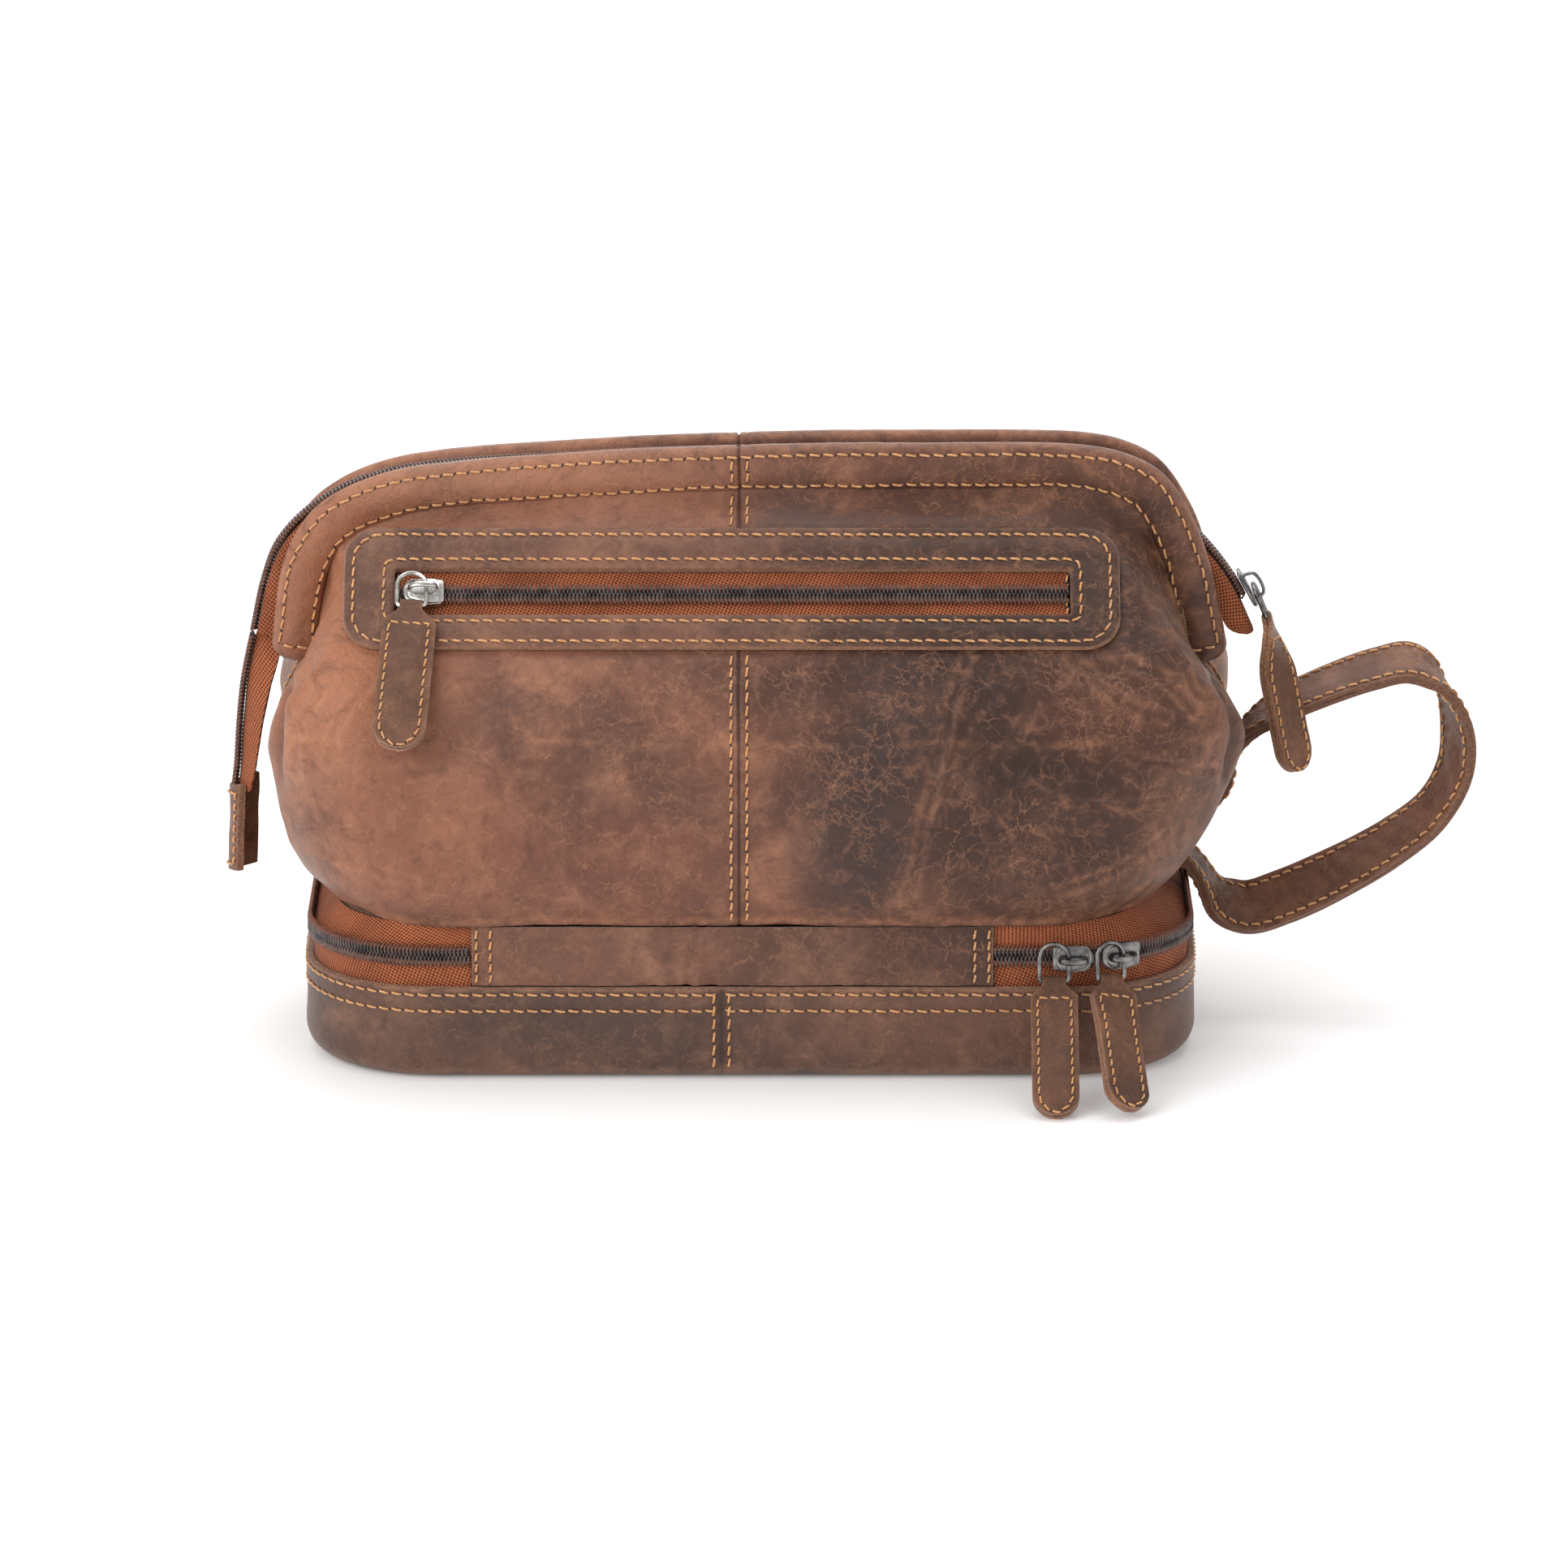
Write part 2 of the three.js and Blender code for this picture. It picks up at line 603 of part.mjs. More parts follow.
function sliderGeometry(flanges) {
  const { half, tail, plate, eye, flange } = SLIDER;
  const outline = new THREE.Shape();
  outline.moveTo(-half, -tail);
  outline.lineTo(-1, -4.3);
  outline.absarc(half - SLIDER.nose, 0, SLIDER.nose, -1.06, 1.06, false);
  outline.lineTo(-1, 4.3);
  outline.lineTo(-half, tail);
  const slab = new THREE.ExtrudeGeometry(outline, {
    depth: plate, bevelEnabled: false, curveSegments: 10,
  });
  let solid = solidOf(slab).add(solidOf(box(9.4, 1.8, 1.1, 0, 0, eye + 0.55)));
  for (const end of [-1, 1])
    solid = solid.add(solidOf(box(1.5, 1.8, eye, end * 3.95, 0, eye / 2 + 0.3)));
  for (const side of flanges)
    solid = solid.add(
      solidOf(box(8, 0.7, flange + 0.5, -2, side * 3.8, (0.5 - flange) / 2)),
    );
  return geometryFrom(solid);
}

// The wire ring in its own plane: +Y towards the slider, its lower bar along X at y = 0.
const RING = { half: 4.6, wire: 0.7 };
function ringGeometry(top) {
  const [half, low] = [RING.half, 1.5];
  const point = (x, y) => new THREE.Vector3(x, y, 0);
  const line = new THREE.CurvePath();
  const run = (...ends) => line.add(new THREE.LineCurve3(...ends));
  const bend = (...knots) => line.add(new THREE.QuadraticBezierCurve3(...knots));
  run(point(low - half, 0), point(half - low, 0));
  bend(point(half - low, 0), point(half, 0), point(half, low));
  run(point(half, low), point(half, top - half));
  const arc = 6;
  for (let k = 0; k < arc; k++) {
    const [a, b] = [k, k + 1].map((step) => (Math.PI * step) / arc);
    const at = (angle) => point(half * Math.cos(angle), top - half + half * Math.sin(angle));
    run(at(a), at(b));
  }
  run(point(-half, top - half), point(-half, low));
  bend(point(-half, low), point(-half, 0), point(low - half, 0));
  const [steps, sides] = [34, 6];
  const vertices = [];
  const triangles = [];
  for (let i = 0; i < steps; i++) {
    const middle = line.getPointAt(i / steps);
    const tangent = line.getTangentAt(i / steps);
    const out = new THREE.Vector3(tangent.y, -tangent.x, 0);
    for (let k = 0; k < sides; k++) {
      const angle = (2 * Math.PI * k) / sides;
      const q = middle.clone().addScaledVector(out, RING.wire * Math.cos(angle));
      vertices.push([q.x, q.y, RING.wire * Math.sin(angle)]);
      const [a, b] = [i * sides + k, i * sides + ((k + 1) % sides)];
      const step = i === steps - 1 ? -(steps - 1) * sides : sides;
      triangles.push(a, a + step, b + step, a, b + step, b);
    }
  }
  return geometryOf(vertices, triangles);
}

// The pull: leather folded over the ring's lower bar and stitched to itself, hanging along -Y.
const PULL_THICK = 3.2;
const PULL_NECK = 3.5;
function pullGeometry(width, length) {
  const half = width / 2;
  const outline = new THREE.Shape();
  outline.moveTo(-PULL_NECK, 2.2);
  outline.lineTo(PULL_NECK, 2.2);
  outline.lineTo(PULL_NECK, -1.5);
  outline.lineTo(half, -6);
  outline.lineTo(half, -length + half);
  outline.absarc(0, -length + half, half, 0, -Math.PI, true);
  outline.lineTo(-half, -6);
  outline.lineTo(-PULL_NECK, -1.5);
  const leaf = new THREE.ExtrudeGeometry(outline, {
    depth: PULL_THICK, bevelEnabled: false, curveSegments: 8,
  });
  leaf.translate(0, 0, -PULL_THICK / 2);
  const tunnel = rod("x", RING.wire + 0.5, width + 4, 0, 0, 0, 12);
  return geometryFrom(solidOf(leaf).subtract(solidOf(tunnel)));
}

// A frame from its origin, the direction of its X and the direction of its Z.
function frameAt(origin, alongX, alongZ) {
  const x = new THREE.Vector3(...alongX).normalize();
  const z = new THREE.Vector3(...alongZ).normalize();
  const y = new THREE.Vector3().crossVectors(z, x);
  return new THREE.Matrix4().makeBasis(x, y, z).setPosition(...origin);
}

// One slider with its ring and pull. A flange on both sides would lock a coil that has to
// lift away, so `flanges` lists the sides that have one. `nose` turns the slider on its
// chain, and the rest of `hang` says how the ring and the pull hang from it.
function addPull(name, frame, hang) {
  const place = (geometry, ...steps) =>
    geometry.applyMatrix4(steps.reduce((m, step) => m.multiply(step), frame.clone()));
  const shift = (x, y, z) => new THREE.Matrix4().makeTranslation(x, y, z);
  const turn = (axis, degrees) =>
    new THREE.Matrix4()[`makeRotation${axis}`](THREE.MathUtils.degToRad(degrees));
  add(`${name}_slider`, place(sliderGeometry(hang.flanges), turn("Z", hang.nose)), gunmetal);
  const swing = [turn("Z", hang.lean ?? 0), turn("X", hang.ringTilt ?? 0)];
  const ring = [shift(hang.x, 0, EYE_MID), ...swing, shift(0, -hang.drop, 0)];
  add(`${name}_ring`, place(ringGeometry(hang.top), ...ring), gunmetal);
  const pull = [...ring, turn("X", hang.tilt), turn("Z", hang.twist ?? 0)];
  add(`${name}_pull`, place(pullGeometry(hang.width, hang.length), ...pull), leather);
}

// ---------------------------------------------------------------- wrist strap
// Centre line of the strap with the half-width direction at each point.
const STRAP_LINE = [
  { at: [150.3, 12, 74], across: [0, 1, 0] },
  { at: [152.5, 12, 84], across: [0, 1, 0] },
  { at: [160, 10, 91.5], across: [0.05, 0.97, 0.25] },
  { at: [169, 9, 96.5], across: [0.08, 0.92, 0.38] },
  { at: [184, 8, 103], across: [0.1, 0.9, 0.42] },
  { at: [198, 8, 107], across: [0.1, 0.9, 0.42] },
  { at: [209, 8, 109], across: [0, 0.92, 0.38] },
  { at: [218, 9, 103.5], across: [-0.3, 0.92, 0.2] },
  { at: [224, 10, 92.5], across: [-0.45, 0.89, 0] },
  { at: [225, 10, 79.5], across: [-0.45, 0.89, 0.1] },
  { at: [218, 10, 66.5], across: [-0.2, 0.85, 0.5] },
  { at: [204, 10, 56], across: [0.1, 0.7, 0.7] },
  { at: [186, 10, 46.5], across: [0.2, 0.55, 0.81] },
  { at: [170, 10, 40], across: [0.2, 0.55, 0.81] },
  { at: [159, 10, 37.5], across: [0.1, 0.75, 0.65] },
  { at: [149.5, 10.5, 40.5], across: [0, 0.9, 0.4] },
  { at: [142.5, 11, 47.5], across: [0, 0.99, 0.1] },
  { at: [136, 12, 55], across: [0, 1, 0] },
  { at: [138.6, 12, 64], across: [0, 1, 0] },
];
const STRAP_SAMPLES = 44;

function strapGeometry() {
  const along = new THREE.CatmullRomCurve3(STRAP_LINE.map(({ at }) => new THREE.Vector3(...at)));
  const lean = new THREE.CatmullRomCurve3(
    STRAP_LINE.map(({ across }) => new THREE.Vector3(...across)),
  );
  const frames = Array.from({ length: STRAP_SAMPLES + 1 }, (_, i) => {
    const t = i / STRAP_SAMPLES;
    const tangent = along.getTangent(t);
    const across = lean.getPoint(t);
    across.addScaledVector(tangent, -across.dot(tangent)).normalize();
    const face = new THREE.Vector3().crossVectors(tangent, across);
    return { point: along.getPoint(t).toArray(), across, face };
  });
  return strap(
    frames.map(({ point }) => point),
    (i) => frames[i].across.toArray().map((v) => (v * STRAP_WIDTH) / 2),
    (i) => frames[i].face.toArray().map((v) => (v * STRAP_THICK) / 2),
  );
}

// ---------------------------------------------------------------- assembly
const bag = new THREE.Group();

function add(name, geometry, material, parent = bag) {
  const mesh = new THREE.Mesh(geometry, material);
  mesh.name = name;
  parent.add(mesh);
  return mesh;
}

add("base_tray", trayGeometry(), darkLeather);
add("base_board", boardGeometry(), board);
add("base_lining", trayLiningGeometry(), liningCloth);
add("hinge_band", bandGeometry(), leather);
add("base_tape_lower", zipStrip(TAPE_INSET, LOWER_TAPE_BOTTOM, CHAIN_Z - GAP, FABRIC), tapeCloth);
add("base_tape_upper", upperTapeGeometry(), tapeCloth);
add(
  "base_coil_lower",
  zipStrip(COIL_INSET, CHAIN_Z - COIL_HALF, CHAIN_Z - GAP / 2, COIL_THICK),
  coilNylon,
);
add(
  "base_coil_upper",
  zipStrip(COIL_INSET, CHAIN_Z + GAP / 2, CHAIN_Z + COIL_HALF, COIL_THICK),
  coilNylon,
);

add(
  "bag_floor",
  loft([
    planRing(FLOOR_PLAN, 0, BAG_BOTTOM - 1.6),
    planRing(FLOOR_PLAN, 0, BAG_BOTTOM - 1.6 + FLOOR_THICK),
  ]),
  darkLeather,
);
for (const [side, sideX] of [["left", -1], ["right", 1]]) {
  for (const [face, sideY] of [["front", -1], ["back", 1]])
    add(`${face}_panel_${side}`, panelGeometry(sideX, sideY), leather);
  add(`gusset_${side}`, gussetGeometry(sideX), darkLeather);
  add(`frame_rivet_${side}`, rivetGeometry(sideX), steel);
}

for (const [face, sideY] of [["front", -1], ["back", 1]]) {
  add(`${face}_lip`, lipGeometry(sideY), leather);
  add(`${face}_frame_rod`, rodGeometry(sideY), steel);
  add(`mouth_tape_${face}`, mouthTapeGeometry(sideY), tapeCloth);
  add(`mouth_coil_${face}`, mouthCoilGeometry(sideY), coilNylon);
}
add("tail_tape", tailTapeGeometry(), tapeCloth);
add("tail_coil", tailCoilGeometry(), coilNylon);
add("tail_tab", tailTabGeometry(), leather);

add("pocket_welt", weltGeometry(), leather);
for (const [side, up] of [["upper", 1], ["lower", -1]]) {
  add(`pocket_tape_${side}`, onPocket(pocketTape(up)), tapeCloth);
  add(`pocket_coil_${side}`, onPocket(pocketCoil(up)), coilNylon);
}
add("pocket_bag", onPocket(pocketBag()), liningCloth);

add("wrist_strap", strapGeometry(), leather);

const coilFace = -TRAY.half + COIL_INSET - 0.3; // the sliders' plates clear the coil by this much
addPull("base_left", frameAt([BASE_SLIDER_X, coilFace, CHAIN_Z], [1, 0, 0], [0, -1, 0]), {
  flanges: [-1], nose: 0, x: -RING.half - 1.4, drop: 6.8, top: 12, ringTilt: -6, tilt: -43,
  width: 14.6, length: 49.4,
});
const cornerAt = (degrees, radius) => {
  const angle = THREE.MathUtils.degToRad(degrees);
  const [x, y] = [Math.sin(angle), -Math.cos(angle)];
  const middle = [TRAY.right - TRAY.corner, -TRAY.half + TRAY.corner];
  return { at: [middle[0] + radius * x, middle[1] + radius * y, CHAIN_Z], out: [x, y, 0] };
};
const corner = cornerAt(CORNER_SLIDER_TURN, TRAY.corner - COIL_INSET + 0.3);
const cornerAlong = [-corner.out[1], corner.out[0], 0];
addPull("base_right", frameAt(corner.at, cornerAlong, corner.out), {
  flanges: [1], nose: 180, x: -RING.half, drop: 6.8, top: 12, ringTilt: -6, tilt: -43,
  width: 14.6, length: 49.4,
});

const pocketFrame = new THREE.Matrix4()
  .makeTranslation(POCKET_MID.x, -read(BAG.depth, POCKET_MID.z), POCKET_MID.z)
  .multiply(new THREE.Matrix4().makeRotationX(Math.PI / 2 - POCKET_LEAN))
  .multiply(new THREE.Matrix4().makeTranslation(POCKET_SLIDER_X - POCKET_MID.x, SLOT_UP, 1));
addPull("pocket", pocketFrame, {
  flanges: [-1, 1], nose: 180, x: -RING.half + 1, drop: 6.5, top: 11.8, tilt: 0, twist: -4,
  width: 16.6, length: 50,
});

const [mouthX, mouthZ] = onShoulder(MOUTH_SLIDER_TURN, SHOULDER.r + COIL_THICK + 0.6);
const mouthOut = onShoulder(MOUTH_SLIDER_TURN, 1).map((v, k) => v - [SHOULDER.x, SHOULDER.z][k]);
const mouthFrame = frameAt([mouthX, 0, mouthZ], [0, 1, 0], [mouthOut[0], 0, mouthOut[1]]);
addPull("mouth", mouthFrame, {
  flanges: [], nose: -90, x: 0, drop: 11, top: 11.7, lean: -12, ringTilt: 5, tilt: 12,
  width: 15.5, length: 50,
});

export default bag;
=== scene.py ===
# Framed leather wash bag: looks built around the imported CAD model.
# Shapes are worked out in millimetres in the model's own frame, and stored in metres.
import json
import math
from collections import defaultdict

import bmesh
import bpy
import numpy as np
from mathutils import Vector, noise
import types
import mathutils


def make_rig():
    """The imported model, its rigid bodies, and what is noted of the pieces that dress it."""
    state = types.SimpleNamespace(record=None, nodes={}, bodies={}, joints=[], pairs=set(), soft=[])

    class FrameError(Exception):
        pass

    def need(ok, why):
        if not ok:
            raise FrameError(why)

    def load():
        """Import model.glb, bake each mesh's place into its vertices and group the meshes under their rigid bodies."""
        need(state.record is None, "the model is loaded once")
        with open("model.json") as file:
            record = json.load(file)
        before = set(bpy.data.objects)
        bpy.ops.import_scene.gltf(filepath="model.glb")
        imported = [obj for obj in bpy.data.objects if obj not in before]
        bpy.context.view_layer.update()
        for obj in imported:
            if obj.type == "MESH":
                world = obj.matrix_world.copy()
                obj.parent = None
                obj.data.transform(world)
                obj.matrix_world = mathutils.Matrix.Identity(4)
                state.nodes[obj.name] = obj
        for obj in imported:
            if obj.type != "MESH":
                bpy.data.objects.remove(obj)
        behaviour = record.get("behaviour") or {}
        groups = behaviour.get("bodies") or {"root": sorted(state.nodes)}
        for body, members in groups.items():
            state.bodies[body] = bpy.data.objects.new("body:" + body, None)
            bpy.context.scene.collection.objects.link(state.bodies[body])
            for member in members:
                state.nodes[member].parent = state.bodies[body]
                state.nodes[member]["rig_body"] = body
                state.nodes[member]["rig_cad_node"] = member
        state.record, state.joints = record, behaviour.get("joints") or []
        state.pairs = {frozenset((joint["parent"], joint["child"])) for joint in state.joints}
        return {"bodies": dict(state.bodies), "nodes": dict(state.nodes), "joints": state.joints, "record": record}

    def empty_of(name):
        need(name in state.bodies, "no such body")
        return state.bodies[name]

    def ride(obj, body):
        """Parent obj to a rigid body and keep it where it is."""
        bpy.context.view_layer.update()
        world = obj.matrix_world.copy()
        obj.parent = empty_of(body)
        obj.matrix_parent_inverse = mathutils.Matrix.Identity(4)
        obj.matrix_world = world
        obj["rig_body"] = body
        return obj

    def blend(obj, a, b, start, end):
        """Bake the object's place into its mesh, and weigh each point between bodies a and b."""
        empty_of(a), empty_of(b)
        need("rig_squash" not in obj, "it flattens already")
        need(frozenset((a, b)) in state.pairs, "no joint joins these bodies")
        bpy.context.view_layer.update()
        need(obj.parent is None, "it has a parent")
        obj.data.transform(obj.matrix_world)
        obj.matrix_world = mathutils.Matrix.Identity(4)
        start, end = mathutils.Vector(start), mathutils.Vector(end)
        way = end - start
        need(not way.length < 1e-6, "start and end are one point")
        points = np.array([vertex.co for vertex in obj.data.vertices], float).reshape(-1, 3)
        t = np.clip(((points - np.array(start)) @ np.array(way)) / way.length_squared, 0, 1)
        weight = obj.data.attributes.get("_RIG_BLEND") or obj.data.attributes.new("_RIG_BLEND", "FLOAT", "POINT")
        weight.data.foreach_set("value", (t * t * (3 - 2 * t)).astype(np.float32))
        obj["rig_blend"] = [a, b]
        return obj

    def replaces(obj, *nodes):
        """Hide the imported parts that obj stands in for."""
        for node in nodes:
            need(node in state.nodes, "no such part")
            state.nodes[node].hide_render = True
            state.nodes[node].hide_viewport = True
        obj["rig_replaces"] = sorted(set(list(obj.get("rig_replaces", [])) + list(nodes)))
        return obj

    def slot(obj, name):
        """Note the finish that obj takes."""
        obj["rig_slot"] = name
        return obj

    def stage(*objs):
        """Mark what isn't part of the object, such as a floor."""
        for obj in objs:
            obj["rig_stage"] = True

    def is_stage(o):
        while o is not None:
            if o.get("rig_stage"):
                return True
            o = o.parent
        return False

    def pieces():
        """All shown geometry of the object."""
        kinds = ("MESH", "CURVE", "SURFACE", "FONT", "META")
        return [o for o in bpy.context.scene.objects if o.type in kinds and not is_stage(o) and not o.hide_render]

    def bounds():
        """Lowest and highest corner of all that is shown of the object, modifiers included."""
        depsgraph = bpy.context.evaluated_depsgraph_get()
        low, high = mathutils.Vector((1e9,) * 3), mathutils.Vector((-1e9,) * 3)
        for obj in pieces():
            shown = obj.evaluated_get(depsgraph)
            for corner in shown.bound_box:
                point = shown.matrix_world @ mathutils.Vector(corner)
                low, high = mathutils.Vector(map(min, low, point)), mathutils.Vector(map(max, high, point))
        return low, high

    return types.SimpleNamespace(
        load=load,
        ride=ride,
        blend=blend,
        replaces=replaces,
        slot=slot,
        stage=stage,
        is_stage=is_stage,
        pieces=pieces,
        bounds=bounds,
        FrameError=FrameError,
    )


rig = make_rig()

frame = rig.load()
CAD_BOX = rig.bounds()
MM = 0.001

# ---------------------------------------------------------------- dimensions shared with the CAD model
LEATHER = 1.6
GAP = 0.4
TRAY = {"left": -142, "right": 140, "half": 70, "corner": 42}
TRAY_RIM = 30.5
TRAY_ROUND = 8
BAND = (-88, 75)
CHAIN_Z = 40.5
BAG_BOTTOM = 51
FLOOR_PLAN = {"left": -130.5, "right": 121.5, "half": 66, "corner": 32}
SEAM_X = -4.4
TRAY_SEAM_X = -10
LIP_FACE = 11.6
LIP_RANGE = (0.022, 0.978)
LEG_RANGE = (0.006, 0.994)  # the leather legs cover the hinge ends
POCKET = {"left": -128, "right": 114.5, "top": 167.4, "bottom": 136.5, "round": 11}
SLOT = {"left": -112, "right": 99, "top": 156.9, "bottom": 145.1}
STITCH, STRAP_STITCH, FINE_STITCH = 4.3, 3.9, 3.5  # pitches of the waxed thread
SEAM_ROW = 2.45  # how far a row of stitches runs from a seam
TAPE_THICK = 0.7
DEPTH = [
    (51, 69), (56, 72.5), (64, 75.2), (76, 76.3), (93, 75.5), (106, 73.2), (115, 70.5),
    (124, 66.8), (132, 61), (171, 23), (174.5, 18.5), (178, 14.5),
]
LEFT = [
    (51, 133), (56, 138), (62, 142.5), (70, 146.5), (80, 149), (100, 151.4), (118, 149.8),
    (125, 147.5), (132, 143.5), (152, 141), (178, 137),
]
RIGHT = [
    (51, 124), (56, 129), (62, 134.5), (70, 140.5), (80, 145.5), (90, 149.5), (109, 153.3),
    (118, 152), (125, 147.5), (132, 143), (140, 139), (152, 135), (178, 130),
]
CORNER = [(105, 34), (134, 18), (178, 14)]


# ---------------------------------------------------------------- numbers
def smoothstep(x, low, high):
    t = np.clip((np.asarray(x, float) - low) / (high - low), 0, 1)
    return t * t * (3 - 2 * t)


def lerp(a, b, t):
    return a + (b - a) * t


def bell(x, middle, width):
    return np.exp(-(((np.asarray(x, float) - middle) / width) ** 2))


def eased(table, reach):
    """A table of (key, value) pairs with its corners rounded over about reach."""
    keys, values = np.array(table, float).T
    fine = np.arange(keys[0] - 12, keys[-1] + 12, 0.5)
    slope = [np.diff(values)[i] / np.diff(keys)[i] for i in (0, -1)]
    raw = np.interp(fine, keys, values)
    raw += np.where(fine < keys[0], (fine - keys[0]) * slope[0], 0)
    raw += np.where(fine > keys[-1], (fine - keys[-1]) * slope[1], 0)
    kernel = np.exp(-((np.arange(-24, 25) * 0.5 / reach) ** 2))
    soft = np.convolve(np.pad(raw, 24, mode="edge"), kernel / kernel.sum(), "valid")
    return lambda key: np.interp(key, fine, soft)


def ripple(points, size, seed):
    """Smooth noise from about -1 to 1 at each point, with lumps of about size."""
    flat = np.asarray(points, float).reshape(-1, 3) / size + seed
    values = [noise.noise(Vector(p)) for p in flat]
    return np.array(values).reshape(np.shape(points)[:-1]) * 1.6


def unit(v):
    v = np.asarray(v, float)
    return v / np.maximum(np.linalg.norm(v, axis=-1, keepdims=True), 1e-9)


def spline(points, samples=40):
    """A centripetal Catmull-Rom curve through the points, as a dense polyline."""
    p = np.array(points, float)
    p = np.vstack([2 * p[0] - p[1], p, 2 * p[-1] - p[-2]])
    s = np.linspace(0, 1, samples, endpoint=False)[:, None]
    out = []
    for i in range(1, len(p) - 2):
        a, b, c, d = p[i - 1 : i + 3]
        u, v, w = (np.linalg.norm(q - r) ** 0.5 for q, r in ((b, a), (c, b), (d, c)))
        t1 = ((b - a) / u - (c - a) / (u + v) + (c - b) / v) * v
        t2 = ((c - b) / v - (d - b) / (v + w) + (d - c) / w) * v
        out.append(b + t1 * s + (3 * (c - b) - 2 * t1 - t2) * s**2 + (2 * (b - c) + t1 + t2) * s**3)
    return np.vstack([*out, p[-2:-1]])


def lengths(line):
    steps = np.linalg.norm(np.diff(line, axis=0), axis=1)
    return np.concatenate([[0], np.cumsum(steps)])


def along(line, at, *fields):
    """Points (and any fields) of a polyline at lengths from its start."""
    s = lengths(line)
    read = lambda f: np.stack([np.interp(at, s, f[:, k]) for k in range(f.shape[1])], 1)
    return [read(np.asarray(f, float)) for f in (line, *fields)]


def tangents(line, closed=False):
    if closed:
        return unit(np.roll(line, -1, 0) - np.roll(line, 1, 0))
    return unit(np.gradient(line, axis=0))


def plan_ring(plan, inset, z, per_corner=24, per_mm=0.5):
    """A rounded rectangle in plan, anticlockwise, from the left end of the front."""
    r = max(plan["corner"] - inset, 0.5)
    left, right = plan["left"] + plan["corner"], plan["right"] - plan["corner"]
    cy = plan["half"] - plan["corner"]
    flat, side = int((right - left) * per_mm), int(2 * cy * per_mm)

    def on_arc(x, y, degrees):
        angle = np.radians(degrees)
        return np.stack([x + r * np.cos(angle), y + r * np.sin(angle)], -1)

    runs, here = [], np.array([left, -cy - r])
    corners = [(right, -cy, 270), (right, cy, 0), (left, cy, 90), (left, -cy, 180)]
    for (x, y, start), count in zip(corners, (flat, side, flat, side)):
        runs.append(lerp(here, on_arc(x, y, start), np.linspace(0, 1, count, endpoint=False)[:, None]))
        runs.append(on_arc(x, y, start + np.linspace(0, 90, per_corner, endpoint=False)))
        here = on_arc(x, y, start + 90)
    pts = np.vstack(runs)
    return np.column_stack([pts, np.full(len(pts), float(z))])


# ---------------------------------------------------------------- meshes
def build(name, verts, faces, mats, face_mats=None, uv=None, wear_and_shade=None, crease=40):
    """A mesh object from arrays in millimetres."""
    me = bpy.data.meshes.new(name)
    me.from_pydata((np.asarray(verts) * MM).tolist(), [], [list(map(int, f)) for f in faces])
    for m in mats:
        me.materials.append(m)
    if face_mats is not None:
        me.polygons.foreach_set("material_index", np.asarray(face_mats, np.int32))
    if uv is not None:
        layer = me.uv_layers.new(name="UVMap")
        index = np.empty(len(me.loops), np.int32)
        me.loops.foreach_get("vertex_index", index)
        layer.data.foreach_set("uv", np.asarray(uv, np.float32)[index].ravel())
    shade = me.attributes.new("wear_and_shade", "FLOAT", "POINT")
    amount = np.zeros(len(verts)) if wear_and_shade is None else wear_and_shade
    shade.data.foreach_set("value", np.asarray(amount, np.float32))
    me.shade_smooth()
    me.set_sharp_from_angle(angle=math.radians(crease))
    me.update()
    obj = bpy.data.objects.new(name, me)
    bpy.context.scene.collection.objects.link(obj)
    return obj


def grid_quads(rows, cols, wrap=False, first=0, flip=False):
    i, j = np.meshgrid(np.arange(rows - 1), np.arange(cols if wrap else cols - 1), indexing="ij")
    a = (i * cols + j).ravel()
    b = (i * cols + (j + 1) % cols).ravel()
    quads = np.stack([a, b, b + cols, a + cols], 1) + first
    return quads[:, ::-1] if flip else quads


def grid_normals(grid, wrap=False):
    """Unit normals of a grid: along its columns crossed with up its rows."""
    if wrap:
        side = np.roll(grid, -1, 1) - np.roll(grid, 1, 1)
    else:
        side = np.gradient(grid, axis=1)
    return unit(np.cross(side, np.gradient(grid, axis=0)))


def raised(grid, height, wrap=False):
    """The grid moved along its normals by a height at each point."""
    return grid + grid_normals(grid, wrap) * height[..., None]


def grid_uv(grid):
    u = np.concatenate([[0], np.cumsum(np.linalg.norm(np.diff(grid, axis=1), axis=2).mean(0))])
    v = np.concatenate([[0], np.cumsum(np.linalg.norm(np.diff(grid, axis=0), axis=2).mean(1))])
    uu, vv = np.meshgrid(u, v)
    return np.stack([uu.ravel(), vv.ravel()], 1)


def bevelled(obj, width):
    mod = obj.modifiers.new("bevel", "BEVEL")
    mod.width = width * MM
    mod.segments = 2
    mod.limit_method = "ANGLE"
    mod.angle_limit = math.radians(50)
    mod.use_clamp_overlap = True
    return obj


def slab(name, grid, thick, mats, wear_and_shade=None, bevel=0.35, keep=None):
    """A sheet: its outer face is the grid, with raw edges and an inner face. mats: face, edge, inside."""
    rows, cols = grid.shape[:2]
    size = rows * cols
    inner = grid - grid_normals(grid) * thick
    verts = np.vstack([grid.reshape(-1, 3), inner.reshape(-1, 3)])
    top = grid_quads(rows, cols)
    if keep is not None:
        top = top[keep.ravel()]
    under = (top + size)[:, ::-1]
    ends = defaultdict(int)
    for q in top:
        for a, b in zip(q, np.roll(q, -1)):
            ends[(int(a), int(b))] += 1
    rim = [(b, a, a + size, b + size) for a, b in ends if (b, a) not in ends]
    faces = [*top, *under, *rim]
    which = [0] * len(top) + [2] * len(under) + [1] * len(rim)
    uv = np.vstack([grid_uv(grid)] * 2)
    both = None if wear_and_shade is None else np.concatenate([wear_and_shade.ravel()] * 2)
    obj = build(name, verts, faces, list(mats), which, uv, both)
    if keep is not None:
        drop_loose(obj)
    return bevelled(obj, bevel) if bevel else obj


